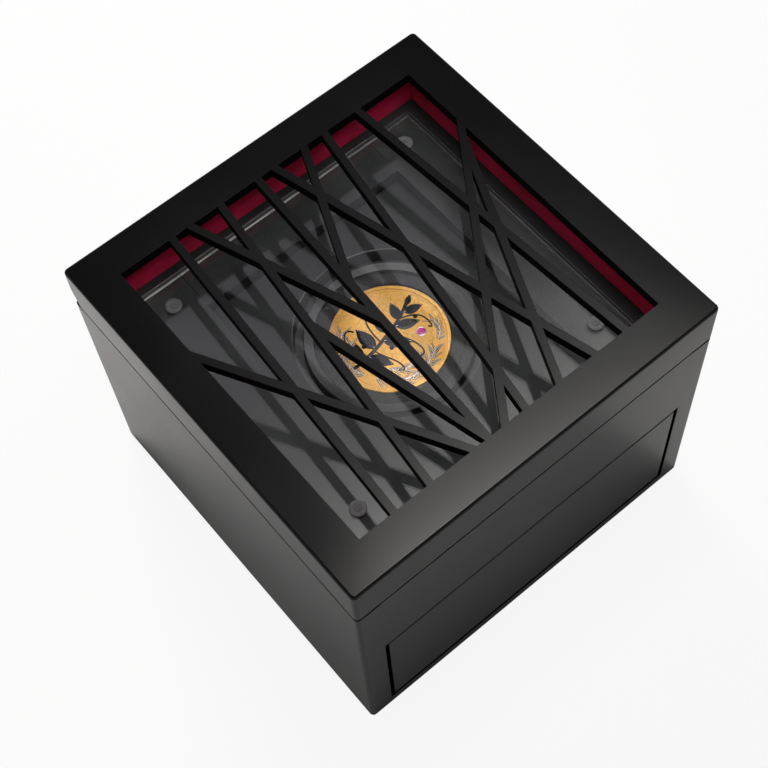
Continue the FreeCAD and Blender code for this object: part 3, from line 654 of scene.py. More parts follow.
def felt():
    f = new_finish("black_felt")
    wool = f.noise(1100.0, 4.0, f.stretched((1.0, 0.4, 1.0), (0.0, 0.0, 0.6)))
    lint = f.noise(2600.0, 2.0)
    return f.shade({
        "Base Color": f.mix(0.6 * wool + 0.4 * lint, (0.012, 0.012, 0.012), (0.05, 0.05, 0.05)),
        "Roughness": 0.9 + 0.08 * lint, "Sheen Weight": 0.3, "Sheen Roughness": 0.5,
        "Normal": f.bump(wool + lint, 0.15 * MM, 0.7)})


def moulded_plastic():
    f = new_finish("moulded_grey_plastic")
    grain = f.noise(1500.0, 1.0)
    return f.shade({
        "Base Color": f.mix(grain, (0.10, 0.10, 0.10), (0.14, 0.14, 0.145)),
        "Roughness": 0.42 + 0.15 * grain,
        "Normal": f.bump(grain, 0.02 * MM, 0.6)})


MAKERS = {
    "black_lacquered_board": satin_lacquer, "black_stained_wood": stained_wood, "plain_wood": plain_wood,
    "black_lining_board": black_paper_board, "red_velvet": red_velvet, "clear_acrylic": clear_acrylic,
    "clear_nylon": clear_nylon, "gold_metal": struck_gold, "black_foam": black_foam, "felt": felt,
    "magnet_plating": nickel, "hinge_steel": black_steel, "latch_steel": zinc_steel,
    "latch_plastic": moulded_plastic,
}
FINISHES = {}


def finish_for(slot):
    """The finish of a material slot, made the first time it is asked for."""
    if slot not in FINISHES:
        FINISHES[slot] = MAKERS[slot]()
    return FINISHES[slot]


def softened_node(node, slot, width, test=None, segments=2):
    """A CAD board as a piece of its own, with its free edges rounded over."""
    piece = soften(cad_copy(node), width, test, segments)
    return dressed(piece, slot, body_of(node), node)


def cross_headed(node, slot, width, depth):
    """The screws of a CAD node, each with a cross recess in its head."""
    cross = added("cross_recess", bpy.ops.mesh.primitive_cube_add, size=1.0,
                  scale=(0.26 * width, 0.26 * width, 2.0 * depth))
    with editing(cross):
        pick("FACE", lambda f: not flat_face(f))
        bpy.ops.mesh.extrude_faces_move(TRANSFORM_OT_shrink_fatten={"value": 0.37 * width})
    screws = loose_parts(cad_copy(node))
    for screw in screws:
        head = max(screw.data.polygons, key=lambda face: face.area)
        turn = Vector((0.0, 0.0, 1.0)).rotation_difference(head.normal).to_matrix().to_4x4()
        cutter = copy_of(cross, "recess_cutter", Matrix.Translation(head.center) @ turn)
        apply(screw, "BOOLEAN", operation="DIFFERENCE", solver="EXACT", object=cutter)
        bpy.data.objects.remove(cutter)
    bpy.data.objects.remove(cross)
    piece = joined(screws, f"{node}_piece")
    return dressed(piece, slot, body_of(node), node)


# Pieces

class COINCASE_OT_lacquered_boards(bpy.types.Operator):
    """Outer boards of the case and lid in satin lacquer, their free edges rounded over"""
    bl_idname = "coin_case.lacquered_boards"
    bl_label = "Lacquered boards"

    def execute(self, context):
        sizes = context.scene.case_sizes
        slot = "black_lacquered_board"
        base_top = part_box("base_panel")[1].z
        opening_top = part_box("front_rail")[0].z
        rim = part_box("front_rail")[1].z
        lid_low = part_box("lid_rail_front")[0].z
        face_low, face_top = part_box("lid_face")[0].z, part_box("lid_face")[1].z
        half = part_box("lid_face")[1].x

        def level(edge, height):
            return all(abs(v.co.z - height) < TOUCH for v in edge.verts)

        def inside(point):
            return max(abs(point.x), abs(point.y)) < half - 1.0 * MM

        def shadow_line(piece):
            """Painted shadow: matt black on the rounded rim, where the lid's shadow falls."""
            faced(piece, cut, lambda f: 0.1 < f.normal.z < LEVEL and f.center.z > rim - sizes.arris)

        cut = matt_black_and_seam_shadow()
        shadow_line(softened_node("front_rail", slot, sizes.arris,
                                  lambda e: level(e, rim) or level(e, opening_top)))
        for node in ("left_side", "right_side"):
            piece = cad_copy(node)
            inner = min(abs(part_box(node)[0].x), abs(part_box(node)[1].x))
            with editing(piece):
                bpy.ops.mesh.select_all(action="SELECT")
                bpy.ops.mesh.bisect(plane_co=(0.0, 0.0, opening_top), plane_no=(0.0, 0.0, 1.0))
            soften(piece, sizes.arris, lambda e: level(e, rim) or (
                middle(e).y < -half + 0.1 * MM and abs(abs(middle(e).x) - inner) < TOUCH
                and base_top < middle(e).z < opening_top))
            dressed(piece, slot, body_of(node), node)
            shadow_line(piece)
        shadow_line(softened_node("back_panel", slot, sizes.arris, lambda e: level(e, rim)))
        for side in SIDES:
            rail = softened_node(f"lid_rail_{side}", slot, sizes.seam_arris, lambda e: level(e, lid_low))
            # Painted shadow: matt black on the lid's rounded lower edges and underside, along the seam.
            faced(rail, cut, lambda f: f.normal.z < -0.1)
        fret = softened_node("lid_face", slot, sizes.fret_arris, lambda e: level(e, face_top) or (
            level(e, face_low) and inside(middle(e))))
        faced(fret, cut, lambda f: inside(f.center) and f.normal.z < 0.3)
        softened_node("drawer_front", slot, sizes.arris)
        softened_node("base_panel", slot, sizes.arris, lambda e: level(e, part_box("base_panel")[0].z))
        return {"FINISHED"}


class COINCASE_OT_velvet_lining(bpy.types.Operator):
    """Velvet covered cards that line the well and stand up inside the lid"""
    bl_idname = "coin_case.velvet_lining"
    bl_label = "Velvet lining"

    def execute(self, context):
        fold = context.scene.case_sizes.velvet_fold
        weave = bpy.data.textures.new("velvet_unevenness", "CLOUDS")
        weave.noise_scale = 9.0 * MM
        for side in SIDES:
            node = f"lining_{side}"
            low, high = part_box(node)
            piece = added(f"velvet_{side}", bpy.ops.mesh.primitive_cube_add, size=1.0,
                          location=(low + high) / 2, scale=high - low)
            with editing(piece):
                pick("EDGE", lambda e: all(v.co.z > high.z - TOUCH for v in e.verts))
                bpy.ops.mesh.bevel(offset=fold, segments=4, affect="EDGES")
                pick("EDGE", lambda e: (e.verts[0].co - e.verts[1].co).length > 20 * MM)
                bpy.ops.mesh.subdivide(number_cuts=11)
            apply(piece, "DISPLACE", texture=weave, texture_coords="LOCAL", strength=0.2 * MM, mid_level=1.0)
            dressed(piece, "red_velvet", "case", node, angle=60)
        return {"FINISHED"}


class COINCASE_OT_display_well(bpy.types.Operator):
    """Tray board with its round recess, ledge strips, cleats and shelf"""
    bl_idname = "coin_case.display_well"
    bl_label = "Display well"

    def execute(self, context):
        slot = "black_lining_board"
        tray = softened_node("tray_board", slot, 0.5 * MM, segments=3)
        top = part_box("tray_board")[1].z
        near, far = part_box("cover_plate")

        recess_reach = 45 * MM

        def recess(face):
            return face.center.xy.length < recess_reach and face.center.z < top - 0.1 * MM

        def recess_rim(face):
            return recess(face) and 0.1 < face.normal.z < 0.97 and face.center.z > top - 0.45 * MM

        def rebate_wall(face):
            x, y, z = face.center
            past = max(near.x - x, x - far.x, near.y - y, y - far.y)
            return abs(face.normal.z) < 0.97 and z > near.z and 0.0 < past < 0.8 * MM

        faced(tray, scraped("routed_board", tone=0.036, scale=900.0), recess)
        # Painted highlight: the recess rim is pale at the back, and painted shade fades it out towards the
        # front.
        painted_rim_highlight = scraped("recess_rim_painted_highlight", tone=0.15, scale=300.0, polish=0.95,
                       axis="Y", start=26.0 * MM, end=-2.0 * MM)
        faced(tray, painted_rim_highlight, recess_rim)
        # Painted light: the rebate's walls face away from the lamps and get a paler finish than the board.
        cut = scraped("ledge_wall_painted_light", tone=0.10, scale=300.0)
        for side in SIDES:
            faced(softened_node(f"ledge_{side}", slot, BOARD_ARRIS), cut, rebate_wall)
        for node in ("tray_cleat_left", "tray_cleat_right"):
            softened_node(node, "plain_wood", BOARD_ARRIS)
        paint("divider_shelf", finish_for("black_stained_wood"))
        return {"FINISHED"}


class COINCASE_OT_cover_plate(bpy.types.Operator):
    """Clear cover plate with a scraped chamfer, and its push rivets"""
    bl_idname = "coin_case.cover_plate"
    bl_label = "Cover plate"

    def execute(self, context):
        near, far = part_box("cover_plate")

        def outer(edge):
            point = middle(edge)
            gap = min(point.x - near.x, far.x - point.x, point.y - near.y, far.y - point.y)
            return gap < TOUCH and abs(edge.verts[0].co.z - edge.verts[1].co.z) < TOUCH

        plate = cad_copy("cover_plate")
        soften(plate, context.scene.case_sizes.plate_chamfer, outer, segments=1)
        with editing(plate):
            pick("FACE", lower_face)
            bpy.ops.transform.translate(value=(0.0, 0.0, 0.06 * MM))
        dressed(plate, "clear_acrylic", "case", "cover_plate")
        # Pale scraped chamfer, with painted shade that darkens it towards +X.
        chamfered = scraped("scraped_chamfer", tone=0.50, scale=120.0, polish=0.75)
        faced(plate, chamfered, lambda f: not flat_face(f))
        faced(plate, scraped("sawn_edge", tone=0.03, scale=700.0), lambda f: abs(f.normal.z) <= 0.2)
        low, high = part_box("cover_rivets")
        head = 3.5 * MM
        top = far.z
        rivet = self.rivet(head, shank=1.75 * MM, length=top - low.z)
        places = [(x, y) for x in (low.x + head, high.x - head) for y in (low.y + head, high.y - head)]
        rivets = joined([copy_of(rivet, "rivet", Matrix.Translation((x, y, top))) for x, y in places],
                        "cover_rivets_piece")
        bpy.data.objects.remove(rivet)
        dressed(rivets, "clear_nylon", "case", "cover_rivets", angle=60)
        faced(rivets, scraped("rivet_pin_end", tone=0.09, scale=900.0), lambda f: f.normal.z > 0.9 and min(
            math.hypot(f.center.x - x, f.center.y - y) for x, y in places) < 0.3 * MM)
        return {"FINISHED"}

    def rivet(self, head, shank, length):
        """A push rivet: a low domed head with a ring groove round the pin, and its shank."""
        flange = 0.3 * MM
        rivet = added("rivet", bpy.ops.mesh.primitive_cylinder_add, vertices=48, radius=head, depth=flange,
                      location=(0.0, 0.0, flange / 2))
        dome = ((0.3, 0.2), (0.6, 0.12), (0.75, 0.06), (0.22, -0.16), (0.2, 0.0), (0.15, 0.2), (0.25, 0.06))
        with editing(rivet):
            pick("FACE", upper_face)
            stepped(dome)
            pick("FACE", lower_face)
            bpy.ops.mesh.inset(thickness=head - shank)
            bpy.ops.mesh.extrude_region_move(TRANSFORM_OT_translate={"value": (0.0, 0.0, -length)})
        return rivet


class COINCASE_OT_coin(bpy.types.Operator):
    """Gold coin with a reeded edge, a leafy twig in dark relief, silver grass and a set stone"""
    bl_idname = "coin_case.coin"
    bl_label = "Coin"

    rim_height = 0.35 * MM
    upright = math.radians(-36)

    def execute(self, context):
        sizes = context.scene.case_sizes
        slot = "gold_metal"
        low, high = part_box("coin")
        dressed(self.blank(low, high, sizes.coin_reeds), slot, "case", "coin")
        field = Matrix.Translation((0.0, 0.0, high.z - self.rim_height))
        place = field @ Matrix.Rotation(self.upright, 4, "Z")
        twig, midribs = self.twig(sizes.leaf_length)
        stone, setting = self.stone((13.0, 2.0))
        grass, awn_shadows = self.grass()
        silver = joined([*midribs, *grass, setting], "coin_silver")
        # The awns' painted shadows take the twig's dark gunmetal.
        twig = joined([twig, *awn_shadows], "coin_twig")
        for piece, finish in ((twig, gunmetal()), (silver, silver_line()), (stone, magenta_stone())):
            piece.data.transform(place)
            dressed(piece, slot, "case", finish=finish, angle=40)
        return {"FINISHED"}

    def blank(self, low, high, reeds):
        """The struck blank: chamfered rim, a fine ring inside it, and reeds round the edge."""
        chamfer = 0.2 * MM
        blank = added("coin_blank", bpy.ops.mesh.primitive_cylinder_add, vertices=2 * reeds,
                      radius=(high.x - low.x) / 2, depth=high.z - low.z - 2 * chamfer,
                      location=(low + high) / 2)
        pitch = math.pi / reeds
        rim = ((0.25, 0.2), (1.3, 0.0), (0.25, -0.35), (0.55, 0.0), (0.12, 0.12), (0.2, 0.0), (0.12, -0.12))
        with editing(blank):
            pick("FACE", lambda f: not flat_face(f)
                 and math.floor(math.atan2(middle(f).y, middle(f).x) / pitch) % 2 == 0)
            bpy.ops.mesh.inset(thickness=0.12 * MM, depth=-0.12 * MM, use_individual=True)
            pick("FACE", flat_face)
            stepped(rim)
        return blank

    def line(self, points, radius, flat=0.7):
        """A raised line on the field that follows five points, in millimetres from the coin's middle."""
        bpy.ops.object.select_all(action="DESELECT")
        bpy.ops.curve.primitive_nurbs_path_add()
        path = named("line")
        spline = path.data.splines[0]
        for knot, (x, y) in zip(spline.points, points):
            knot.co = (x * MM, y * MM, 0.0, 1.0)
        spline.order_u = 4
        spline.use_endpoint_u = True
        path.data.resolution_u = 6
        path.data.bevel_depth = radius
        path.data.bevel_resolution = 2
        path.data.use_fill_caps = True
        bpy.ops.object.convert(target="MESH")
        path = bpy.context.object
        path.scale.z = flat
        bpy.ops.object.transform_apply(location=True, rotation=True, scale=True)
        return path

    def leaf(self):
        """One leaf of unit length along X, its back channelled along the midrib and its ends pointed."""
        columns = 8
        leaf = added("leaf", bpy.ops.mesh.primitive_grid_add, x_subdivisions=columns, y_subdivisions=4,
                     size=1.0, location=(0.5, 0.0, 0.0))
        with editing(leaf):
            bpy.ops.mesh.select_all(action="SELECT")
            bpy.ops.mesh.extrude_region_move(TRANSFORM_OT_translate={"value": (0.0, 0.0, 0.4)})
            for row, rise in ((0.25, 0.6), (0.0, 0.3)):
                pick("VERT", lambda v: v.co.z > 0.3 and abs(abs(v.co.y) - row) < 0.01
                     and 0.05 < v.co.x < 0.95)
                bpy.ops.transform.translate(value=(0.0, 0.0, rise))
            for column in range(columns + 1):
                along = column / columns
                pick("VERT", lambda v: abs(v.co.x - along) < 0.01)
                bpy.ops.transform.resize(value=(1.0, max(0.03, math.sin(math.pi * along ** 0.8)), 1.0),
                                         center_override=(along, 0.0, 0.0))
        return apply(leaf, "SUBSURF", levels=1, render_levels=1)

    def twig(self, longest):
        """A stem with leaves to either side, their silver midribs, and berries."""
        stem = self.line(((-15.5, -13.0), (-8.0, -7.5), (-2.0, 1.0), (4.0, 7.0), (8.0, 16.5)), 0.8 * MM)
        tendrils = (
            ((-10.0, -8.0), (-15.0, -6.0), (-20.0, 0.0), (-18.0, 6.0), (-14.5, 4.0)),
            ((-3.5, -2.0), (-8.0, 4.0), (-12.0, 12.0), (-5.0, 17.0), (-3.0, 12.0)),
            ((-1.0, 1.5), (6.0, 0.0), (12.0, -3.0), (15.0, -9.0), (10.5, -9.5)),
            ((-6.5, -5.5), (-2.0, -9.0), (3.0, -10.0), (6.5, -16.0), (2.5, -15.0)),
            ((5.0, 9.0), (11.0, 11.0), (16.0, 9.0), (18.5, 3.0), (16.0, 4.5)))
        leaf = self.leaf()
        shoots = (
            (-12.5, -10.5, 100, 0.78), (-9.5, -8.0, -22, 0.9), (-6.0, -4.5, 128, 1.0),
            (-3.0, -1.0, -5, 1.0), (-0.5, 2.2, 118, 0.95), (2.5, 5.2, 12, 0.85),
            (4.6, 8.0, 112, 0.75), (6.3, 11.5, 22, 0.7), (7.8, 15.0, 70, 0.44))
        pieces = [stem, *(self.line(points, 0.36 * MM, flat=1.1) for points in tendrils)]
        midribs = []
        for x, y, turn, share in shoots:
            length = share * longest
            root = Matrix.Translation((x * MM, y * MM, -0.1 * MM))
            place = root @ Matrix.Rotation(math.radians(turn), 4, "Z")
            shape = Matrix.Diagonal((length, 0.5 * length, 0.62 * MM, 1.0))
            pieces.append(copy_of(leaf, "leaf", place @ shape))
            rib = self.line(((0, 0), (2, 0.15), (4, 0.25), (6, 0.2), (length / MM - 0.8, 0.0)), 0.13 * MM)
            rib.data.transform(Matrix.Translation((0.0, 0.0, 0.38 * MM)))
            rib.data.transform(place)
            midribs.append(rib)
        bpy.data.objects.remove(leaf)
        for x, y in ((-13.5, -5.0), (-10.8, -3.0), (0.5, -4.5), (2.8, -3.2), (9.8, 7.0), (11.0, 9.4)):
            pieces.append(self.berry(x, y, radius=0.95 * MM))
        return joined(pieces, "coin_twig"), midribs

    def berry(self, x, y, radius):
        """A low round berry with a dimple at its top."""
        berry = added("berry", bpy.ops.mesh.primitive_cylinder_add, vertices=16, radius=radius,
                      depth=0.3 * MM, location=(x * MM, y * MM, 0.1 * MM))
        with editing(berry):
            pick("FACE", upper_face)
            stepped(((0.15, 0.2), (0.3, 0.15), (0.3, -0.1)))
        return berry

    def grass(self):
        """Bent grass along the rim: stalks with fine awns to both sides, each over a wider dark strip that is
        a painted shadow.
        """
        awn = added("awn", bpy.ops.mesh.primitive_cone_add, vertices=6, radius1=0.24 * MM, radius2=0.1 * MM,
                    depth=1.0, rotation=(0.0, math.pi / 2, 0.0), location=(0.5, 0.0, 0.0))
        sweeps = ((-112, -18, 19.0, 6.5), (-98, -35, 14.0, 5.5), (236, 168, 19.5, 5.5), (228, 182, 15.5, 5.0),
                  (-8, 24, 19.0, 4.5))
        pieces, awn_shadows = [], []
        for begin, end, radius, length in sweeps:
            def at(share):
                angle = math.radians(begin + (end - begin) * share)
                reach = radius + 2.0 * math.sin(math.pi * share)
                return Vector((reach * math.cos(angle), reach * math.sin(angle)))
            pieces.append(self.line([at(k / 4) for k in range(5)], 0.2 * MM))
            count = max(4, round(abs(end - begin) * radius / 110))
            for k in range(count):
                share = (k + 0.5) / count
                ahead = at(share + 0.02) - at(share - 0.02)
                for lean in (32, -38):
                    turn = math.atan2(ahead.y, ahead.x) + math.radians(lean + 6 * (k % 3))
                    reach = length * (0.75 + 0.25 * math.cos(2.3 * k + lean))
                    root = Matrix.Translation((*(at(share) * MM), 0.03 * MM))
                    place = root @ Matrix.Rotation(turn, 4, "Z")
                    # Each awn gets a wider, flatter copy beneath it, joined to the dark twig: a painted
                    # shadow.
                    for name, made, wide, high in (("awn", pieces, 1.15, 0.9), ("groove", awn_shadows, 2.3, 0.3)):
                        shape = Matrix.Diagonal((reach * MM, wide, high, 1.0))
                        made.append(copy_of(awn, name, place @ shape))
        bpy.data.objects.remove(awn)
        return pieces, awn_shadows

    def stone(self, place):
        """A round stone with a table and two rows of facets, and its silver setting."""
        middle_point = (place[0] * MM, place[1] * MM, 0.1 * MM)
        stone = added("coin_stone", bpy.ops.mesh.primitive_cylinder_add, vertices=10, radius=1.75 * MM,
                      depth=0.3 * MM, location=middle_point)
        with editing(stone):
            pick("FACE", upper_face)
            for step, rise in ((0.4, 0.28), (0.45, 0.16)):
                bpy.ops.mesh.inset(thickness=step * MM, depth=rise * MM)
                bpy.ops.transform.rotate(value=math.radians(18), orient_axis="Z",
                                         center_override=(middle_point[0], middle_point[1], 0.0))
        bpy.ops.object.select_all(action="DESELECT")
        bpy.ops.mesh.primitive_torus_add(major_radius=1.9 * MM, minor_radius=0.26 * MM, major_segments=32,
                                         minor_segments=8, location=middle_point)
        setting = named("stone_setting")
        with editing(setting):
            pick("FACE", lambda f: f.normal.z > 0.6 and math.floor(
                math.degrees(math.atan2(middle(f).y, middle(f).x)) / 22.5) % 4 == 0)
            bpy.ops.mesh.inset(thickness=0.04 * MM, depth=0.12 * MM)
        bpy.ops.object.transform_apply(location=True, rotation=True, scale=True)
        return stone, setting


class COINCASE_OT_coin_capsule(bpy.types.Operator):
    """Clear capsule and foam ring round the coin"""
    bl_idname = "coin_case.coin_capsule"
    bl_label = "Coin capsule"

    def execute(self, context):
        shell_clear = clear("thin_capsule_acrylic", (0.99, 0.99, 0.99), rough=0.02,
                            transmission=1.0, index=1.15, smear_scale=60.0)
        # The frosted rim gets painted shade towards the front.
        frosted = clear("frosted_capsule_rim", (0.105, 0.107, 0.11), rough=0.5,
                        transmission=0.35, index=1.3, smear_scale=300.0, front_shade=0.9)
        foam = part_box("coin_gasket")[1].x
        for node, width in (("capsule_lid", 0.35 * MM), ("capsule_base", 0.2 * MM)):
            shell = soften(cad_copy(node), width)
            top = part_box(node)[1].z
            if node == "capsule_lid":
                with editing(shell):
                    pick("FACE", lambda f: upper_face(f) and middle(f).z > top - TOUCH)
                    bpy.ops.mesh.inset(thickness=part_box(node)[1].x - foam - width)
            dressed(shell, "clear_acrylic", "case", node, finish=shell_clear)
            faced(shell, frosted, lambda f: abs(f.normal.z) < 0.95 or (
                f.center.z > top - TOUCH and f.center.xy.length > foam))
        softened_node("coin_gasket", "black_foam", 0.7 * MM, segments=3)
        return {"FINISHED"}


class COINCASE_OT_drawer(bpy.types.Operator):
    """Drawer box behind the front, with its velvet pad, runners and stop"""
    bl_idname = "coin_case.drawer"
    bl_label = "Drawer"

    def execute(self, context):
        for node in ("drawer_left", "drawer_right", "drawer_back", "drawer_bottom"):
            softened_node(node, "black_stained_wood", BOARD_ARRIS)
        for node in ("drawer_dowels", "drawer_runner_left", "drawer_runner_right", "drawer_stop"):
            softened_node(node, "plain_wood", BOARD_ARRIS)
        low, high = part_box("drawer_lining")
        size = high - low
        flank = 0.55 * size.z
        pad = added("drawer_velvet_pad", bpy.ops.mesh.primitive_cube_add, size=1.0,
                    location=(*((low + high) / 2).xy, low.z + flank / 2), scale=(size.x, size.y, flank))
        with editing(pad):
            for rise, inset in ((0.30, 0.9), (0.10, 2.0), (0.05, 6.0)):
                pick("FACE", upper_face)
                bpy.ops.mesh.inset(thickness=inset * MM, depth=rise * size.z)
        apply(pad, "SUBSURF", levels=2, render_levels=2)
        dressed(pad, "red_velvet", "drawer", "drawer_lining", angle=60)
        return {"FINISHED"}


class COINCASE_OT_push_latch(bpy.types.Operator):
    """Push latch behind the drawer: housing, plunger, spring, strike and screws"""
    bl_idname = "coin_case.push_latch"
    bl_label = "Push latch"

    def execute(self, context):
        softened_node("latch_housing", "latch_plastic", BOARD_ARRIS)
        softened_node("latch_strike", "latch_steel", 0.3 * MM)
        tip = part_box("latch_plunger")[0].y
        softened_node("latch_plunger", "latch_steel", 0.9 * MM,
                      lambda e: middle(e).y < tip + 1.0 * MM, segments=4)
        cross_headed("latch_screws", "latch_steel", SCREW_HEAD, depth=0.7 * MM)
        self.spring(context.scene.case_sizes.spring_turns)
        return {"FINISHED"}

    def spring(self, turns):
        """A coil of round wire between the plunger and the end of its bore."""
        low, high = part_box("latch_spring")
        wire = 0.3 * MM
        spring = added("latch_spring_piece", bpy.ops.mesh.primitive_circle_add, vertices=10, radius=wire,
                       rotation=(math.pi / 2, 0.0, 0.0), location=((high.x - low.x) / 2 - wire, 0.0, wire))
        apply(spring, "SCREW", axis="Z", iterations=turns, steps=28, render_steps=28,
              screw_offset=(high.y - low.y - 2 * wire) / turns)
        with editing(spring):
            bpy.ops.mesh.select_all(action="SELECT")
            bpy.ops.mesh.fill_holes(sides=0)
            bpy.ops.mesh.select_all(action="SELECT")
            bpy.ops.mesh.remove_doubles(threshold=0.1 * TOUCH)
            bpy.ops.mesh.normals_make_consistent(inside=False)
        spring.rotation_euler.x = math.pi / 2
        spring.location = ((low.x + high.x) / 2, high.y, (low.z + high.z) / 2)
        dressed(spring, "latch_steel", "case", "latch_spring", angle=50)
        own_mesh(spring)


class COINCASE_OT_hinges(bpy.types.Operator):
    """Two butt hinges with their pins and screws"""
    bl_idname = "coin_case.hinges"
    bl_label = "Hinges"

    def execute(self, context):
        for side in ("left", "right"):
            for node in (f"hinge_body_leaf_{side}", f"hinge_lid_leaf_{side}"):
                softened_node(node, "hinge_steel", 0.12 * MM, segments=1)
            softened_node(f"hinge_pin_{side}", "hinge_steel", 0.25 * MM, segments=3)
        for node in ("hinge_body_screws", "hinge_lid_screws"):
            cross_headed(node, "hinge_steel", SCREW_HEAD, depth=0.6 * MM)
        return {"FINISHED"}


class COINCASE_OT_small_parts(bpy.types.Operator):
    """Magnets in the rim and lid, and the felt pads under the base"""
    bl_idname = "coin_case.small_parts"
    bl_label = "Magnets and felt pads"

    def execute(self, context):
        softened_node("felt_pads", "felt", 0.3 * MM, segments=3)
        for node in ("body_magnets", "lid_magnets"):
            softened_node(node, "magnet_plating", 0.3 * MM)
        return {"FINISHED"}


class COINCASE_OT_studio(bpy.types.Operator):
    """Floor, white surround, lamps and camera"""
    bl_idname = "coin_case.studio"
    bl_label = "Studio"

    warm = (1.0, 0.975, 0.95)
    neutral = (1.0, 0.99, 0.98)

    def execute(self, context):
        studio = context.scene.case_studio
        self.floor()
        self.surround(context.scene, studio.ambient)
        self.softbox(studio.softbox)
        key = self.lamp("key", studio.key, self.warm, size=0.45,
                        place=(0.16, 0.70, 0.50), aim=(0.0, 0.0, 0.05))
        fill = self.lamp("fill", studio.fill, self.warm, size=0.6,
                         place=(-0.75, 0.35, 0.50), aim=(-0.1, 0.0, 0.0))
        well = self.lamp("well_light", studio.well, self.neutral, size=0.30,
                         place=(0.015, -0.03, 0.40), aim=(0.015, 0.01, 0.13))
        well.data.shape = "RECTANGLE"
        well.data.size_y = 0.12
        well.data.spread = math.radians(66)
        for lamp in (key, fill, well):
            lamp.visible_glossy = False
        self.camera(context.scene, studio)
        context.scene.view_settings.view_transform = "Standard"
        return {"FINISHED"}

    def floor(self):
        """A pale floor that keeps the shadow near the case and turns white away from it."""
        floor = added("studio_floor", bpy.ops.mesh.primitive_plane_add, size=8.0)
        f = new_finish("pale_floor")
        tone = f.mix(f.noise(3.0, 2.0), (0.90, 0.90, 0.90), (0.92, 0.92, 0.92))
        lit = f.node("ShaderNodeBsdfDiffuse", {}, {"Color": tone})
        white = f.node("ShaderNodeEmission", {}, {"Color": (1.0, 1.0, 1.0), "Strength": 1.0})
        seen = f.ray("Camera")
        away = f.node("ShaderNodeVectorMath", {"operation": "LENGTH"}, {0: f.object_place()}, output="Value")
        share = f.range(away, 0.16, 0.9, 0.9, 1.0) * seen
        floor.data.materials.append(f.show(f.node("ShaderNodeMixShader", {}, {0: share, 1: lit, 2: white})))

    def surround(self, scene, ambient):
        """White behind the case, a gradient in its gloss and glass, and an even light on all else."""
        scene.world = bpy.data.worlds.new("studio_surround")
        f = Finish(scene.world)
        height = f.axis(f.node("ShaderNodeTexCoord", output="Generated"), "Z")
        ceiling = f.range(height, 0.08, 0.55, 1.0, 0.06)
        seen = f.ray("Camera")
        shown = f.node("ShaderNodeMath", {"operation": "MAXIMUM"}, {
            0: f.ray("Glossy"), 1: f.ray("Transmission")})
        rest = shown * ceiling + (1.0 - shown) * ambient
        strength = seen + (1.0 - seen) * rest
        light = f.node("ShaderNodeBackground", {}, {"Color": (1.0, 1.0, 1.0), "Strength": strength})
        f.show(light, "ShaderNodeOutputWorld")

    def softbox(self, power):
        """A broad lamp over the lid, brighter towards the front, with a warm strip near its front end."""
        lamp = self.lamp("softbox", power, self.neutral, size=0.33,
                         place=(0.173, 0.125, 0.663), aim=(0.173, 0.125, 0.0))
        lamp.data.shape = "RECTANGLE"
        lamp.data.size_y = 0.50
        lamp.rotation_euler = (0.0, 0.0, 0.0)
        f = Finish(lamp.data)
        across = f.node("ShaderNodeNewGeometry", output="Parametric")
        along, aside = f.axis(across, "Y"), f.axis(across, "X")
        glow = f.node("ShaderNodeValToRGB", {"stops": (
            (0.0, (0.42, 0.42, 0.42)), (0.27, (0.42, 0.42, 0.42)), (0.31, (1.0, 0.975, 0.94)),
            (0.375, (1.0, 0.975, 0.94)), (0.41, (0.72, 0.71, 0.70)), (0.44, (0.47, 0.47, 0.47)),
            (0.48, (0.43, 0.43, 0.43)), (0.54, (0.27, 0.27, 0.27)),
            (0.66, (0.14, 0.14, 0.14)), (0.8, (0.092, 0.091, 0.101)),
            (1.0, (0.076, 0.075, 0.085)))}, {0: along})
        # A dark flag on either side, and the strip.
        right = f.range(aside, 0.845, 0.88) * f.range(along, 0.60, 0.74)
        left = f.range(aside, 0.12, 0.08) * f.range(along, 0.36, 0.48)
        strip = f.range(aside, 0.9, 0.35) * f.range(along, 0.27, 0.31) * f.range(along, 0.43, 0.375)
        masks = (1.0 - 0.95 * right) * (1.0 - 0.95 * left)
        strength = (1.15 - 0.25 * aside) * masks * (1.0 + 1.7 * strip)
        light = f.node("ShaderNodeEmission", {}, {"Color": glow, "Strength": strength})
        f.show(light, "ShaderNodeOutputLight")

    def lamp(self, name, power, colour, size, place, aim):
        bpy.ops.object.light_add(type="AREA", location=place)
        lamp = bpy.context.object
        lamp.name = name
        lamp.data.size = size
        lamp.data.energy = power
        lamp.data.color = colour
        lamp.rotation_euler = (Vector(aim) - Vector(place)).to_track_quat("-Z", "Y").to_euler()
        lamp.visible_camera = False
        return lamp

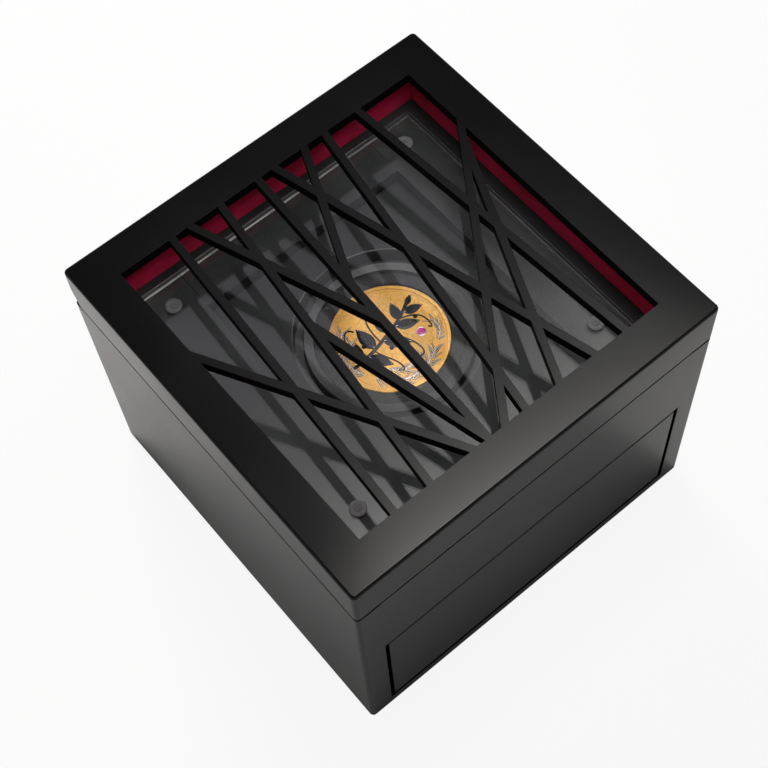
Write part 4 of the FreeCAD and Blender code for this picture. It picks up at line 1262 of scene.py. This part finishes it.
    def camera(self, scene, studio):
        bpy.ops.object.camera_add(location=studio.place)
        camera = bpy.context.object
        camera.name = "camera"
        camera.data.lens = studio.lens
        camera.data.sensor_width = 36.0
        ahead = (Vector(studio.aim) - Vector(studio.place)).normalized()
        right = ahead.cross(Vector((0.0, 0.0, 1.0))).normalized()
        up = right.cross(ahead)
        turned = math.cos(studio.roll) * right + math.sin(studio.roll) * up
        upright = turned.cross(ahead)
        camera.rotation_euler = Matrix((turned, upright, -ahead)).transposed().to_euler()
        camera.data.clip_start = 0.01
        camera.data.clip_end = 50.0
        scene.camera = camera


STEPS = (
    COINCASE_OT_lacquered_boards, COINCASE_OT_velvet_lining, COINCASE_OT_display_well,
    COINCASE_OT_cover_plate, COINCASE_OT_coin, COINCASE_OT_coin_capsule, COINCASE_OT_drawer,
    COINCASE_OT_push_latch, COINCASE_OT_hinges, COINCASE_OT_small_parts, COINCASE_OT_studio,
)


class COINCASE_PT_panel(bpy.types.Panel):
    """The case's settings and its pieces"""
    bl_idname = "COINCASE_PT_panel"
    bl_label = "Coin case"
    bl_space_type = "VIEW_3D"
    bl_region_type = "UI"
    bl_category = "Coin case"

    def draw(self, context):
        for group in (context.scene.case_sizes, context.scene.case_colours, context.scene.case_studio):
            box = self.layout.box()
            for key in group.bl_rna.properties.keys():
                if key not in ("rna_type", "name"):
                    box.prop(group, key)
        for step in STEPS:
            self.layout.operator(step.bl_idname)


CLASSES = (CaseSizes, CaseColours, CaseStudio, *STEPS, COINCASE_PT_panel)


def register():
    for item in CLASSES:
        bpy.utils.register_class(item)
    bpy.types.Scene.case_sizes = bpy.props.PointerProperty(type=CaseSizes)
    bpy.types.Scene.case_colours = bpy.props.PointerProperty(type=CaseColours)
    bpy.types.Scene.case_studio = bpy.props.PointerProperty(type=CaseStudio)


def unregister():
    del bpy.types.Scene.case_studio
    del bpy.types.Scene.case_colours
    del bpy.types.Scene.case_sizes
    for item in reversed(CLASSES):
        bpy.utils.unregister_class(item)


def main():
    register()
    bpy.ops.coin_case.lacquered_boards()
    bpy.ops.coin_case.velvet_lining()
    bpy.ops.coin_case.display_well()
    bpy.ops.coin_case.cover_plate()
    bpy.ops.coin_case.coin()
    bpy.ops.coin_case.coin_capsule()
    bpy.ops.coin_case.drawer()
    bpy.ops.coin_case.push_latch()
    bpy.ops.coin_case.hinges()
    bpy.ops.coin_case.small_parts()
    bpy.ops.coin_case.studio()


if __name__ == "__main__":
    main()
